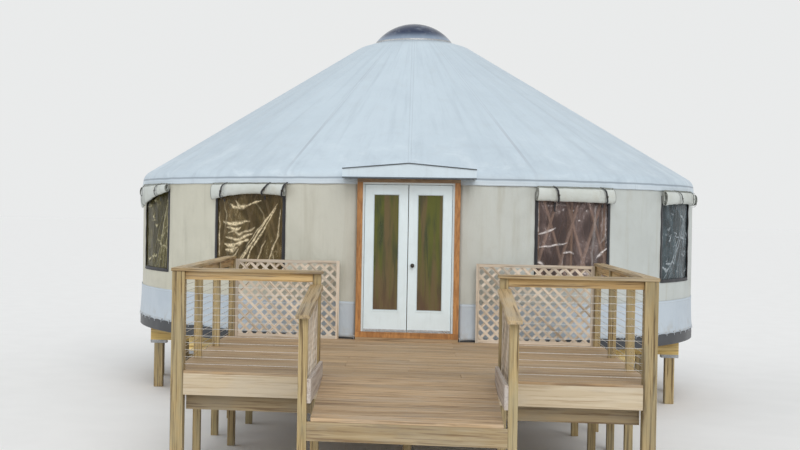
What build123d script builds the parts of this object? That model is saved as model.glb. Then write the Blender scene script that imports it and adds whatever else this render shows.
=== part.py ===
"""Thirty-foot yurt on a raised round platform, with a railed deck and a ramp in front of its doors.

Millimetres, +Z up. The origin is on the yurt's axis at ground level, under the middle pier.
The doors look along -Y. Azimuths are degrees from the front, positive towards +X.
"""
import os
from math import asin, cos, degrees, hypot, radians, sin, sqrt, tan

from build123d import *

# Driving dimensions: levels
floor_height = 1200          # ground to the top of the yurt's floor, on the low side of the slope
seat_gap = 0.3               # running gap where two pieces rest on each other
seam_gap = 0.6               # gap between neighbouring panels of one skin

# Driving dimensions: round wall and its skins
wall_radius = 4572           # outside of the wall cover: a thirty-foot yurt
cover_thickness = 15         # cover, insulation and liner together
wall_cover_top = 2150        # height of the wall cover over the floor
band_height = 470            # laced lower band
band_thickness = 6           # it lies over the foot of the wall cover
band_panels = 12
door_bay_margin = 11         # door frame to the first stud's middle

# Driving dimensions: lattice wall
lattice_panels = 24
lattice_columns = 3          # cells across one panel
lattice_rows = 2             # cells up one panel
lattice_bar_width = 38
lattice_bar_depth = 24
stud_width = 38
stud_depth = 89

# Driving dimensions: windows
window_azimuths = (30.3, 61.8, 93.0, 124.5, 156.0)
window_width = 1230
window_sill = 765
window_head = 2010
pane_thickness = 4
border_width = 55
border_thickness = 3
roll_height = 190
roll_depth = 110
roll_centre_height = 2000
roll_overhang = 40
strap_width = 28
strap_thickness = 3
strap_offset = 380           # from the window's middle to each strap
strap_length = 330

# Driving dimensions: roof
roof_hem_height = 2107       # hem of the roof cover over the floor
roof_hem_projection = 14     # hem of the roof cover past the wall cover
roof_slope = 31.5            # degrees
roof_flat_slope = 17.0       # over the centre ring
roof_cover_thickness = 6
roof_gores = 16
shoulder_radius = 200        # where the slope turns down into the hem
hem_upright = 52             # straight part of the hem under the shoulder
rafter_width = 38
rafter_depth = 89
ring_outer = 900
ring_inner = 600
ring_depth = 185
curb_wall = 40
curb_height = 30
dome_rise = 315
dome_thickness = 6

# Driving dimensions: platform
platform_margin = 28         # platform past the wall cover
floor_thickness = 38
rim_height = 190
rim_thickness = 30
rim_pieces = 12
joist_width = 38
platform_joist_spacing = 610
girder_width = 140
girder_depth = 240
girder_rows = (-3000, -1500, 0, 1500, 3000)
girder_end_margin = 130
saddle_height = 50
saddle_reach = 60            # past each side of the pier
pier_size = 140
pier_spacing = 2080
pier_inset = 60

# Driving dimensions: doors
frame_post_width = 75
frame_depth = 140
frame_half = 702             # middle of the doorway to the outside of the cedar frame
frame_projection = 108       # front of the cedar frame past the wall cover
frame_top = 2180
header_height = 50
door_sill_height = 75
door_sill_projection = 40
jamb_width = 26
leaf_top_gap = 6
leaf_gap = 6                 # running gap round each leaf
meeting_gap = 10             # running gap between the two leaves
leaf_thickness = 45
leaf_setback = 60            # front of the frame to the front of the leaves
jamb_proud = 25              # the jambs stand in front of the leaves
door_glass_width = 350
door_glass_bottom = 370
door_glass_top = 1968
door_glass_thickness = 18
moulding_width = 16
moulding_proud = 5
hinge_pin_radius = 7
hinge_height = 100
hinge_heights = (300, 1050, 1850)
knob_outline = ((0, 0), (28, 0), (28, 6), (11, 10), (11, 24), (22, 34), (27, 46), (17, 58), (0, 61))
knob_height = 993
knob_from_edge = 60
awning_half = 905
awning_eave = 2310
awning_ridge = 2388
awning_foot = 2181
awning_thickness = 22
awning_depth = 170           # in front of the door frame
awning_run = 510             # from its front back to the slope of the roof, which it is cut to

# Driving dimensions: deck and its rails
deck_drop = 46               # deck surface under the yurt's floor
deck_middle = 60             # middle of the deck from the yurt's axis
deck_half = 2575
deck_depth = 4150            # platform's front to the deck's front edge
deck_lap = 80                # the deck's sides run on past the platform's front
deck_board = 30
walk_half = 950              # half of the clear way between the two bays
fascia_height = 235
fascia_thickness = 38
deck_joist_height = 185
deck_joist_spacing = 600
deck_joist_margin = 60       # first joist to the corner post
beam_depth = 235
beam_width = 76
beam_setbacks = (250, 2020, 3750)
beam_post_inset = 400        # deck's side to the outer posts under the beams
corner_post = 140
rail_post = 89
side_post_setbacks = (1310, 2730)
back_post_inset = 60         # deck's back edge to the middle of the back posts and of the screens
rail_height = 1120           # deck surface to the top of the cap rail
cap_width = 140
cap_thickness = 38
cap_overhang = 22
sub_rail_width = 38
sub_rail_height = 89
sub_rail_inset = 4           # from the front of the posts
wire_size = 4
wire_inset = 20              # from the front of the posts
wire_pitch = 77
wire_count = 12
screen_depth = 18
screen_strip = 34
screen_pitch = 150
screen_stile = 40
screen_inner = 935           # inner edge of each screen, from the middle of the doorway

# Driving dimensions: ramp
ramp_post_distance = 1540    # deck's front edge to the middle of the lower posts
ramp_drop = 222              # deck surface to the ramp's foot
ramp_board = 38
toe_beam_height = 185
ramp_stringer_height = 140
ramp_stringer_width = 38
stringer_inset = 40
ramp_rail_far = 932          # deck surface to the underside of the sloping cap rail, at the deck
ramp_rail_near = 745         # the same at the lower posts
ramp_rail_end = 90           # the cap rail runs on past the lower posts
ramp_side_height = 235
ramp_side_top = 150          # deck surface to the top of the side board
ramp_side_thickness = 38

# Worked out from the driving dimensions
wall_inner = wall_radius - cover_thickness
roof_hem_radius = wall_radius + roof_hem_projection
platform_radius = wall_radius + platform_margin
frame_front = wall_radius + frame_projection
deck_front = platform_radius + deck_depth
deck_back = platform_radius - deck_lap
back_post_row = deck_back + back_post_inset
side_post_rows = [deck_front - setback for setback in side_post_setbacks]
beam_rows = [deck_front - setback for setback in beam_setbacks]
ramp_post_row = deck_front + ramp_post_distance
door_bay_half = degrees(asin((frame_half + door_bay_margin) / wall_inner))
deck_top = floor_height - deck_drop
deck_under = deck_top - deck_board
deck_left = deck_middle - deck_half
deck_right = deck_middle + deck_half
walk_left = deck_middle - walk_half
walk_right = deck_middle + walk_half
rail_top = deck_top + rail_height
cap_under = rail_top - cap_thickness
sub_rail_under = cap_under - sub_rail_height
gate_face = deck_front - fascia_thickness - seat_gap
side_post_inset = fascia_thickness + seat_gap + rail_post / 2
ramp_foot = ramp_post_row + rail_post / 2
screen_height = rail_height - cap_thickness - 2 * seat_gap
ring_break_radius = ring_outer + roof_cover_thickness / 2
slope_tan = tan(radians(roof_slope))
slope_cos = cos(radians(roof_slope))
panel_angle = (360 - 2 * door_bay_half) / lattice_panels
panel_vertex = wall_inner - seat_gap - lattice_bar_depth
panel_apothem = panel_vertex * cos(radians(panel_angle / 2))
panel_width = 2 * panel_vertex * sin(radians(panel_angle / 2))
stud_face_at_joint = panel_vertex - stud_width / 2 * tan(radians(panel_angle / 2)) - seat_gap
stud_face_at_middle = panel_apothem - seat_gap
window_half = degrees(window_width / 2 / wall_radius)
door_edge = degrees(asin((frame_half + seat_gap) / wall_inner))
window_bays = sorted([-a for a in window_azimuths] + list(window_azimuths))


def write(name, shapes):
    """One STEP file for one named piece; like pieces are its solids."""
    shapes = shapes if isinstance(shapes, list) else [shapes]
    solids = [solid for shape in shapes for solid in shape.solids()]
    whole = solids[0] if len(solids) == 1 else Compound(children=solids)
    export_step(whole, f"parts/{name}.step")


def block(x0, x1, y0, y1, z0, z1):
    """A box from its limits."""
    return Pos((x0 + x1) / 2, (y0 + y1) / 2, (z0 + z1) / 2) * Box(x1 - x0, y1 - y0, z1 - z0)


def sector(profile, start, end):
    """Revolve a profile drawn in the XZ plane from one azimuth to another."""
    piece = revolve(profile, axis=Axis.Z, revolution_arc=end - start)
    return Rot(0, 0, start - 90) * piece


def band_profile(outer, inner, bottom, top):
    """Upright rectangle in the XZ plane, between two radii."""
    corners = ((inner, bottom), (outer, bottom), (outer, top), (inner, top))
    return make_face(Plane.XZ * Polyline(*corners, close=True))


def at_azimuth(azimuth, radius, height=0):
    """Plane that faces outward at an azimuth: its x runs round the wall and its y runs up."""
    a = radians(azimuth)
    outward = Vector(sin(a), -cos(a), 0)
    tangent = Vector(cos(a), sin(a), 0)
    return Plane(origin=outward * radius + Vector(0, 0, height), x_dir=tangent, z_dir=outward)


def roof_line(radius):
    """Height over the floor of the roof cover's outside, on its straight slope."""
    return roof_hem_corner + (roof_hem_radius - radius) * slope_tan


# The straight slope reaches the hem's cylinder at this height, where the shoulder is rounded
roof_hem_corner = roof_hem_height + shoulder_radius * tan(radians((90 - roof_slope) / 2)) + hem_upright
ring_break_height = roof_line(ring_break_radius)
curb_outer = ring_inner + curb_wall
curb_line = ring_break_height + (ring_break_radius - curb_outer) * tan(radians(roof_flat_slope))


def rafter_top(radius):
    """Height over the floor of the rafters' top edge, under the cover."""
    return roof_line(radius) - (roof_cover_thickness + seam_gap) / slope_cos


def rafter_underside(radius):
    return rafter_top(radius) - rafter_depth / slope_cos


stud_top = rafter_underside(stud_face_at_middle) - seat_gap


# Platform
def platform_floor():
    disc_radius = platform_radius - rim_thickness - seat_gap
    disc = Cylinder(disc_radius, floor_thickness)
    return Pos(0, 0, floor_height - floor_thickness / 2) * disc


def platform_rim():
    profile = band_profile(platform_radius, platform_radius - rim_thickness,
                           floor_height - rim_height, floor_height)
    step = 360 / rim_pieces
    gap = degrees(seat_gap / platform_radius)
    return [sector(profile, k * step, (k + 1) * step - gap) for k in range(rim_pieces)]


def chord_half(radius, offset):
    """Half length of a chord of a circle at an offset from its centre."""
    return sqrt(radius ** 2 - offset ** 2)


def platform_joists():
    top = floor_height - floor_thickness
    bottom = floor_height - rim_height
    inner = platform_radius - rim_thickness - seat_gap
    count = int((inner - joist_width) // platform_joist_spacing)
    joists = []
    for k in range(-count, count + 1):
        x = k * platform_joist_spacing
        half = chord_half(inner, abs(x) + joist_width / 2)
        joists.append(block(x - joist_width / 2, x + joist_width / 2, -half, half, bottom, top))
    return joists


def girder_half(row):
    return chord_half(platform_radius, abs(row) + girder_width / 2) - girder_end_margin


def platform_girders():
    top = floor_height - rim_height
    return [block(-girder_half(y), girder_half(y), y - girder_width / 2, y + girder_width / 2,
                  top - girder_depth, top) for y in girder_rows]


def pier_places():
    places = []
    for y in girder_rows:
        end = girder_half(y) - pier_inset - pier_size / 2
        inner = [x for x in (-pier_spacing, 0, pier_spacing) if abs(x) < end - pier_size * 2]
        places += [(x, y) for x in [-end] + inner + [end]]
    return places


def platform_piers():
    top = floor_height - rim_height - girder_depth - saddle_height
    return [block(x - pier_size / 2, x + pier_size / 2, y - pier_size / 2, y + pier_size / 2, 0, top)
            for x, y in pier_places()]


def platform_saddles():
    top = floor_height - rim_height - girder_depth
    reach = pier_size / 2 + saddle_reach
    return [block(x - reach, x + reach, y - pier_size / 2, y + pier_size / 2, top - saddle_height, top)
            for x, y in pier_places()]


# Round wall
def wall_sectors():
    """Limits of the wall cover's full-height pieces, between doors and windows."""
    stops = [door_edge]
    for azimuth in window_azimuths:
        stops += [azimuth - window_half, azimuth + window_half]
    stops.append(180)
    right = list(zip(stops[0::2], stops[1::2]))
    return [(-b, -a) for a, b in reversed(right)] + right


def wall_cover_piers():
    gap = degrees(seam_gap / wall_radius)
    low = floor_height
    profile = band_profile(wall_radius, wall_inner, low, floor_height + wall_cover_top)
    return [sector(profile, a + gap, b - gap) for a, b in wall_sectors()]


def window_pieces(bottom, top, outer, inner, gap=seam_gap):
    """The same sector piece at every window, between two heights over the floor."""
    profile = band_profile(outer, inner, floor_height + bottom, floor_height + top)
    half = window_half - degrees(gap / wall_radius)
    return [sector(profile, a - half, a + half) for a in window_bays]


def wall_cover_at_windows():
    """The wall cover's pieces under and over every window."""
    return (window_pieces(0, window_sill - seam_gap, wall_radius, wall_inner)
            + window_pieces(window_head + seam_gap, wall_cover_top, wall_radius, wall_inner))


def window_panes():
    middle = wall_radius - cover_thickness / 2
    return window_pieces(window_sill, window_head, middle + pane_thickness / 2, middle - pane_thickness / 2)


def window_borders():
    """Binding round each window, sewn on the outside of the wall cover."""
    inner = wall_radius + seat_gap
    outer = inner + border_thickness
    side = degrees(border_width / wall_radius)
    half = window_half
    low = floor_height + window_sill
    high = floor_height + window_head
    whole = band_profile(outer, inner, low - border_width / 2, high + border_width / 2)
    hole = band_profile(outer + border_width, inner - border_width, low + border_width / 2,
                        high - border_width / 2)
    frames = []
    for a in window_bays:
        frame = sector(whole, a - half - side / 2, a + half + side / 2)
        frame -= sector(hole, a - half + side / 2, a + half - side / 2)
        frames.append(frame)
    return frames


def roll_profile():
    """Flattened roll of fabric, drawn in the XZ plane."""
    centre = wall_radius + seat_gap + border_thickness + seat_gap + roll_depth / 2
    oval = Ellipse(roll_depth / 2, roll_height / 2)
    return Plane.XZ * (Pos(centre, floor_height + roll_centre_height) * oval)


def window_flap_rolls():
    half = window_half + degrees(roll_overhang / wall_radius)
    return [sector(roll_profile(), a - half, a + half) for a in window_bays]


def window_straps():
    """Straps that hang in front of each rolled flap and hold it up."""
    face = wall_radius + 3 * seat_gap + border_thickness + roll_depth
    bottom = floor_height + roll_centre_height + roll_height / 2 - strap_length
    straps = []
    for a in window_bays:
        for side in (-1, 1):
            azimuth = a + side * degrees(strap_offset / wall_radius)
            strap = Box(strap_width, strap_length, strap_thickness)
            plane = at_azimuth(azimuth, face + strap_thickness / 2, bottom + strap_length / 2)
            straps.append(plane * strap)
    return straps


def lower_band():
    inner = wall_radius + seat_gap
    step = (360 - 2 * door_edge) / band_panels
    gap = degrees(seam_gap / wall_radius)
    profile = band_profile(inner + band_thickness, inner, floor_height + seat_gap, floor_height + band_height)
    return [sector(profile, door_edge + k * step + gap, door_edge + (k + 1) * step - gap)
            for k in range(band_panels)]


# Lattice wall, its studs and the roof frame
def crossed_bars(width, height, columns, rows, bar):
    """Two families of slanted bars, fused where they cross and cut to a rectangle."""
    pitch = width / columns
    run = rows * pitch
    side = bar / 2 * hypot(run, height) / height
    lines = []
    for k in range(-rows, columns + 1):
        x = k * pitch
        lines.append(Polygon((x - side, 0), (x + side, 0), (x + run + side, height),
                             (x + run - side, height), align=None))
        lines.append(Polygon((x + run - side, 0), (x + run + side, 0), (x + side, height),
                             (x - side, height), align=None))
    window = Pos(width / 2, height / 2) * Rectangle(width, height)
    return window & (Sketch() + lines)


def lattice_wall(side):
    """Flat lattice panels of one half of the wall, from the doors round to the back."""
    height = wall_cover_top - seat_gap
    width = panel_width - seam_gap
    flat = crossed_bars(width, height, lattice_columns, lattice_rows, lattice_bar_width)
    panel = extrude(Pos(-width / 2, 0) * flat, lattice_bar_depth)
    azimuths = [door_bay_half + (k + 0.5) * panel_angle for k in range(lattice_panels // 2)]
    return [at_azimuth(side * azimuth, panel_apothem, floor_height) * panel for azimuth in azimuths]


def stud_places():
    """Azimuth and outer face of every stud: at each panel joint and each panel's middle."""
    places = []
    for k in range(2 * lattice_panels + 1):
        face = stud_face_at_middle if k % 2 else stud_face_at_joint
        places.append((door_bay_half + k * panel_angle / 2, face))
    return places


def wall_studs():
    studs = []
    stud = Box(stud_width, stud_top, stud_depth)
    for azimuth, face in stud_places():
        studs.append(at_azimuth(azimuth, face - stud_depth / 2, floor_height + stud_top / 2) * stud)
    return studs


def rafters():
    inner = ring_outer + seat_gap
    outer = stud_face_at_middle
    outline = Polyline((inner, rafter_top(inner)), (outer, rafter_top(outer)),
                       (outer, rafter_underside(outer)), (inner, rafter_underside(inner)), close=True)
    side = make_face(Plane.XZ.offset(-rafter_width / 2) * outline)
    rafter = Pos(0, 0, floor_height) * extrude(side, amount=rafter_width, dir=(0, -1, 0))
    azimuths = [azimuth for azimuth, _ in stud_places()] + [0]
    return [Rot(0, 0, azimuth - 90) * rafter for azimuth in azimuths]


def under_cover(radius):
    """Height over the floor of the cover's underside over the centre ring."""
    lift = (roof_cover_thickness + seat_gap) / cos(radians(roof_flat_slope))
    return ring_break_height + (ring_break_radius - radius) * tan(radians(roof_flat_slope)) - lift


def centre_ring():
    low = under_cover(ring_outer) - ring_depth
    outline = Polyline((ring_inner, low), (ring_outer, low), (ring_outer, under_cover(ring_outer)),
                       (ring_inner, under_cover(ring_inner)), close=True)
    return Pos(0, 0, floor_height) * revolve(make_face(Plane.XZ * outline), axis=Axis.Z)


def curb_top():
    return curb_line + curb_height


def dome_curb():
    inner_foot = under_cover(ring_inner) + seat_gap
    outer_foot = under_cover(curb_outer) + seat_gap
    outline = Polyline((ring_inner, inner_foot), (curb_outer, outer_foot), (curb_outer, curb_top()),
                       (ring_inner, curb_top()), close=True)
    return Pos(0, 0, floor_height) * revolve(make_face(Plane.XZ * outline), axis=Axis.Z)


def skylight_dome():
    """Shallow spherical shell on the curb."""
    reach = curb_outer
    outer = (reach ** 2 + dome_rise ** 2) / (2 * dome_rise)
    inner = outer - dome_thickness
    base = floor_height + curb_top() + seat_gap
    centre = base + dome_rise - outer
    mid = asin(reach / outer) / 2
    outside = ThreePointArc((reach, base), (outer * sin(mid), centre + outer * cos(mid)), (0, centre + outer))
    foot = sqrt(inner ** 2 - (base - centre) ** 2)
    inside = ThreePointArc((0, centre + inner), (inner * sin(mid), centre + inner * cos(mid)), (foot, base))
    axis_edge = Line((0, centre + outer), (0, centre + inner))
    outline = outside + axis_edge + inside + Line((foot, base), (reach, base))
    return revolve(make_face(Plane.XZ * outline), axis=Axis.Z)


def roof_outside(clearance):
    """Outside line of the roof cover from its centre ring to its hem, or a line that far outside it."""
    start = curb_outer + seat_gap + roof_cover_thickness * sin(radians(roof_flat_slope))
    start_height = curb_line - (start - curb_outer) * tan(radians(roof_flat_slope)) + clearance
    hem = roof_hem_radius + clearance
    corner = roof_hem_corner + clearance / slope_cos - clearance * slope_tan
    break_height = ring_break_height + clearance / slope_cos
    return FilletPolyline((start, start_height), (ring_break_radius, break_height), (hem, corner),
                          (hem, roof_hem_height), radius=[0, shoulder_radius + clearance])


def roof_cover():
    """Conical cover with a rounded shoulder and an upright hem, in gores that are sewn together."""
    shell = make_face(offset(roof_outside(0), amount=roof_cover_thickness, side=Side.RIGHT))
    shell = Pos(0, 0, floor_height) * (Plane.XZ * shell)
    step = 360 / roof_gores
    gap = degrees(seam_gap / wall_radius) / 2
    half = frame_half + seat_gap
    over_doors = block(-half, half, -frame_front, -frame_back + seat_gap, floor_height,
                       floor_height + frame_top + seat_gap)
    return [sector(shell, k * step + gap, (k + 1) * step - gap) - over_doors for k in range(roof_gores)]


# Doors
frame_back = frame_front - frame_depth
opening_half = frame_half - frame_post_width
jamb_inner = opening_half - jamb_width
unit_bottom = floor_height + door_sill_height
unit_top = floor_height + frame_top - header_height
leaf_outer_face = frame_front - leaf_setback
leaf_inner_face = leaf_outer_face - leaf_thickness
leaf_bottom = unit_bottom + leaf_gap
leaf_top = unit_top - jamb_width - leaf_top_gap
leaf_outer = jamb_inner - leaf_gap
leaf_inner = meeting_gap / 2
hinge_row = leaf_inner_face - hinge_pin_radius - seat_gap
hinge_column = jamb_inner - hinge_pin_radius - seat_gap
glass_middle = (leaf_outer + leaf_inner) / 2


def door_frame():
    """Cedar posts, header and sill that carry the door unit, as one glued frame."""
    low = floor_height
    high = floor_height + frame_top
    whole = block(-frame_half, frame_half, -frame_front, -frame_back, low, high)
    hole = block(-opening_half, opening_half, -frame_front - 1, -frame_back + 1,
                 low + door_sill_height, high - header_height)
    nose = block(-frame_half, frame_half, -frame_front - door_sill_projection, -frame_front,
                 low + seat_gap, low + door_sill_height)
    return (whole - hole) + nose


def door_jamb():
    """White jambs and head inside the cedar frame, with the stop that the leaves close on."""
    out = opening_half - seat_gap
    front = leaf_outer_face + jamb_proud
    back = hinge_row - hinge_pin_radius
    whole = block(-out, out, -front, -back, unit_bottom + seat_gap, unit_top - seat_gap)
    hole = block(-jamb_inner, jamb_inner, -front - 1, -back + 1, unit_bottom - 1, unit_top - jamb_width)
    return whole - hole


def door_leaf(side):
    """One glazed leaf: stiles and rails round the glass, with a raised moulding on both faces."""
    x0, x1 = sorted((side * leaf_inner, side * leaf_outer))
    leaf = block(x0, x1, -leaf_outer_face, -leaf_inner_face, leaf_bottom, leaf_top)
    middle = side * glass_middle
    half = door_glass_width / 2
    low = floor_height + door_glass_bottom
    high = floor_height + door_glass_top
    grow = moulding_width
    trim = block(middle - half - grow, middle + half + grow, -leaf_outer_face - moulding_proud,
                 -leaf_inner_face + moulding_proud, low - grow, high + grow)
    hole = block(middle - half, middle + half, -leaf_outer_face - leaf_thickness,
                 -leaf_inner_face + leaf_thickness, low, high)
    return (leaf + trim) - hole


def door_glass(side):
    middle = side * glass_middle
    half = door_glass_width / 2 - seat_gap
    pane = door_glass_thickness / 2
    centre = -(leaf_outer_face + leaf_inner_face) / 2
    return block(middle - half, middle + half, centre - pane, centre + pane,
                 floor_height + door_glass_bottom + seat_gap, floor_height + door_glass_top - seat_gap)


def door_hinges(side):
    """Hinge knuckles on the inside, where each leaf turns."""
    barrel = Cylinder(hinge_pin_radius, hinge_height)
    return [Pos(side * hinge_column, -hinge_row, floor_height + z) * barrel for z in hinge_heights]


def door_knob():
    """Round knob on a rose, on the right leaf's meeting stile."""
    base = leaf_outer_face + seat_gap
    knob = revolve(make_face(Plane.XY * Polyline(*knob_outline, close=True)), axis=Axis.Y)
    return Pos(leaf_inner + knob_from_edge, -base, floor_height + knob_height) * (Rot(0, 0, 180) * knob)


def door_awning():
    """Low gabled hood over the doors: a front panel with two sloping tops that run back to the roof."""
    t = awning_thickness
    front = frame_front + awning_depth
    foot, eave, ridge = (floor_height + z for z in (awning_foot, awning_eave, awning_ridge))
    face = Polyline((-awning_half, foot), (awning_half, foot), (awning_half, eave), (0, ridge),
                    (-awning_half, eave), close=True)
    top = Polyline((-awning_half, eave), (0, ridge), (awning_half, eave), (awning_half, eave - t),
                   (0, ridge - t), (-awning_half, eave - t), close=True)
    hood = extrude(make_face(Plane.XZ.offset(front) * face), amount=t, dir=(0, 1, 0))
    hood += extrude(make_face(Plane.XZ.offset(front) * top), amount=awning_run, dir=(0, 1, 0))
    for x in (-awning_half, awning_half - t):
        hood += block(x, x + t, -front, -front + awning_run, foot, eave - t / 2)
    line = roof_outside(seat_gap)
    start, end = line @ 0, line @ 1
    under = line + Polyline((end.X, end.Y), (end.X, 0), (start.X, 0), (start.X, start.Y))
    hood -= Pos(0, 0, floor_height) * revolve(make_face(Plane.XZ * under), axis=Axis.Z)
    return max(hood.solids(), key=lambda solid: solid.volume)


# Deck
def deck_boards():
    """Deck in three fields: two bays and the way between them, cut round to the platform's rim."""
    limits = [deck_left, walk_left, walk_right, deck_right]
    disc = Pos(0, 0, deck_top) * Cylinder(platform_radius + seat_gap, 4 * deck_board)
    holes = post_holes()
    fields = []
    for x0, x1 in zip(limits, limits[1:]):
        field = block(x0 + seam_gap, x1 - seam_gap, -deck_front, -deck_back, deck_under, deck_top)
        fields.append(field - disc - holes)
    return fields


def post_holes():
    """Places that the posts take out of the deck."""
    holes = Part()
    for x, y, size in all_deck_posts():
        grow = size / 2 + seat_gap
        holes += block(x - grow, x + grow, y - grow, y + grow, deck_under - 1, deck_top + 1)
    return holes


def corner_places():
    """Heavy corner posts, which run from the ground to the cap rail."""
    row = -deck_front + corner_post / 2
    return [(deck_left + corner_post / 2, row), (deck_right - corner_post / 2, row)]


def gate_places():
    """Posts on each side of the way, at the head of the ramp, behind the fascia."""
    row = -gate_face + rail_post / 2
    return [(walk_left - rail_post / 2, row), (walk_right + rail_post / 2, row)]


def side_places():
    """Posts along both sides, inside the rim boards."""
    columns = (deck_left + side_post_inset, deck_right - side_post_inset)
    rows = [-y for y in side_post_rows] + [-back_post_row]
    return [(x, y) for x in columns for y in rows]


def all_deck_posts():
    return ([(x, y, corner_post) for x, y in corner_places()]
            + [(x, y, rail_post) for x, y in gate_places() + side_places()])


def post(x, y, size, low, high):
    return block(x - size / 2, x + size / 2, y - size / 2, y + size / 2, low, high)


def deck_posts():
    """Every deck post is one timber from the ground to the rail."""
    return [post(x, y, size, 0, cap_under - seat_gap) for x, y, size in all_deck_posts()]


def rim_limits():
    """Inside of the fascia and side rim boards."""
    return deck_left + fascia_thickness, deck_right - fascia_thickness, -deck_front + fascia_thickness


def deck_fascia():
    """Boards round the deck's edge under the deck boards: front and both sides, outside the smaller posts."""
    top = deck_under
    low = top - fascia_height
    x0, x1, y0 = rim_limits()
    inset = corner_post + seat_gap
    front = block(deck_left + inset, deck_right - inset, -deck_front, y0, low, top)
    start = -deck_front + inset
    sides = [block(a, b, start, -deck_back, low, top) for a, b in ((deck_left, x0), (x1, deck_right))]
    return [front] + sides


def deck_joists():
    x0, x1, y0 = rim_limits()
    top = deck_under
    low = top - deck_joist_height
    first = deck_left + corner_post + deck_joist_margin
    last = deck_right - corner_post - deck_joist_margin
    count = round((last - first) / deck_joist_spacing)
    step = (last - first) / count
    joists = []
    for k in range(count + 1):
        x = first + k * step
        half = joist_width / 2
        round_rim = chord_half(platform_radius + seat_gap, max(0, abs(x) - half))
        joists.append(block(x - half, x + half, y0 + seat_gap, -max(deck_back, round_rim), low, top))
    return joists


def deck_beams():
    """Beams under the joists, between the rows of posts."""
    top = deck_under - deck_joist_height
    x0 = deck_left + corner_post + seat_gap
    x1 = deck_right - corner_post - seat_gap
    return [block(x0, x1, -y - beam_width / 2, -y + beam_width / 2, top - beam_depth, top) for y in beam_rows]


def beam_posts():
    top = deck_under - deck_joist_height - beam_depth
    columns = (deck_left + beam_post_inset, deck_middle, deck_right - beam_post_inset)
    places = [(x, -y) for y in beam_rows[1:] for x in columns]
    places.append((deck_middle, -beam_rows[0]))
    return [post(x, y, rail_post, 0, top) for x, y in places]


def cap_rails():
    """Flat cap rails over the posts: two boards to each bay, mitred over its corner post."""
    gates = [x for x, _ in gate_places()]
    back = -back_post_row + rail_post / 2 + cap_overhang
    caps = []
    for (corner, row), gate, outward in zip(corner_places(), gates, (-1, 1)):
        end = gate - outward * (rail_post / 2 + cap_overhang)
        far, near = (corner + outward * (cap_overhang + across) / 2 for across in (cap_width, -cap_width))
        low, high = (row + (across - cap_overhang) / 2 for across in (-cap_width, cap_width))
        front = Polygon((end, low), (far, low), (near, high), (end, high), align=None)
        side = Polygon((far, low + seam_gap), (far, back), (near, back), (near, high + seam_gap), align=None)
        for board in (front, side):
            caps.append(extrude(Pos(0, 0, cap_under) * board, cap_thickness, dir=(0, 0, 1)))
    return caps


def sub_rails():
    """Rails on edge under the caps, from post to post."""
    (lx, _), (rx, _) = corner_places()
    (gl, _), (gr, _) = gate_places()
    low, high = sub_rail_under, cap_under - seat_gap
    rails = []
    front = -gate_face + sub_rail_inset
    for a, b in ((lx + corner_post / 2, gl - rail_post / 2), (gr + rail_post / 2, rx - corner_post / 2)):
        rails.append(block(a + seat_gap, b - seat_gap, front, front + sub_rail_width, low, high))
    half = sub_rail_width / 2
    for x, y0, y1 in side_spans():
        rails.append(block(x - half, x + half, y0 + seat_gap, y1 - seat_gap, low, high))
    return rails


def side_spans():
    """Free spans between the side posts, as x, start and end."""
    spans = []
    for x in (deck_left + side_post_inset, deck_right - side_post_inset):
        rows = [(-deck_front + corner_post / 2, corner_post)]
        rows += [(-y, rail_post) for y in side_post_rows] + [(-back_post_row, rail_post)]
        for (ya, sa), (yb, sb) in zip(rows, rows[1:]):
            spans.append((x, ya + sa / 2, yb - sb / 2))
    return spans


def rail_wires(side):
    """Taut wires of one bay: along its front and its side, from post to post."""
    (lx, _), (rx, _) = corner_places()
    (gl, _), (gr, _) = gate_places()
    corner, gate = (lx, gl) if side < 0 else (rx, gr)
    a, b = sorted((corner - side * corner_post / 2, gate + side * rail_post / 2))
    half = wire_size / 2
    row = -gate_face + wire_inset
    wires = []
    for z in (sub_rail_under - wire_pitch * (k + 1) for k in range(wire_count)):
        wires.append(block(a, b, row - half, row + half, z - half, z + half))
        for x, y0, y1 in side_spans():
            if (x < deck_middle) == (side < 0):
                wires.append(block(x - half, x + half, y0, y1, z - half, z + half))
    return wires


def strip_lattice(outline, width, height):
    """Garden lattice that fills an outline of that width and height, with a stile at each end."""
    inner = width - 2 * screen_stile
    columns = round(inner / screen_pitch)
    rows = round(height / inner * columns)
    flat = Pos(screen_stile, 0) * crossed_bars(inner, height, columns, rows, screen_strip)
    for x in (screen_stile / 2, width - screen_stile / 2):
        flat += Pos(x, height / 2) * Rectangle(screen_stile, height)
    return flat & outline


def lattice_screen(side):
    """Garden lattice screen beside the doors."""
    inset = side_post_inset + rail_post / 2 + seat_gap
    post_face = deck_left + inset if side < 0 else deck_right - inset
    x0, x1 = sorted((post_face, side * screen_inner))
    width = x1 - x0
    whole = Pos(width / 2, screen_height / 2) * Rectangle(width, screen_height)
    screen = extrude(Plane.XZ * strip_lattice(whole, width, screen_height), screen_depth / 2, both=True)
    return Pos(x0, -back_post_row, deck_top + seat_gap) * screen


# Ramp
ramp_run = ramp_foot - deck_front
ramp_fall = ramp_drop / ramp_run
walk_inner_left = walk_left + ramp_side_thickness + seat_gap
walk_inner_right = walk_right - ramp_side_thickness - seat_gap


def slanted(x0, x1, y0, y1, top0, top1, depth):
    """Plank between two rows y0 and y1 that slopes from one top height to the other."""
    outline = Polyline((y0, top0), (y1, top1), (y1, top1 - depth), (y0, top0 - depth), close=True)
    return extrude(make_face(Plane.YZ.offset(x0) * outline), amount=x1 - x0)


def ramp_deck():
    head = -deck_front - seat_gap
    return slanted(walk_inner_left + seam_gap, walk_inner_right - seam_gap, head, -ramp_foot, deck_top,
                   deck_top - ramp_drop, ramp_board)


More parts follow.
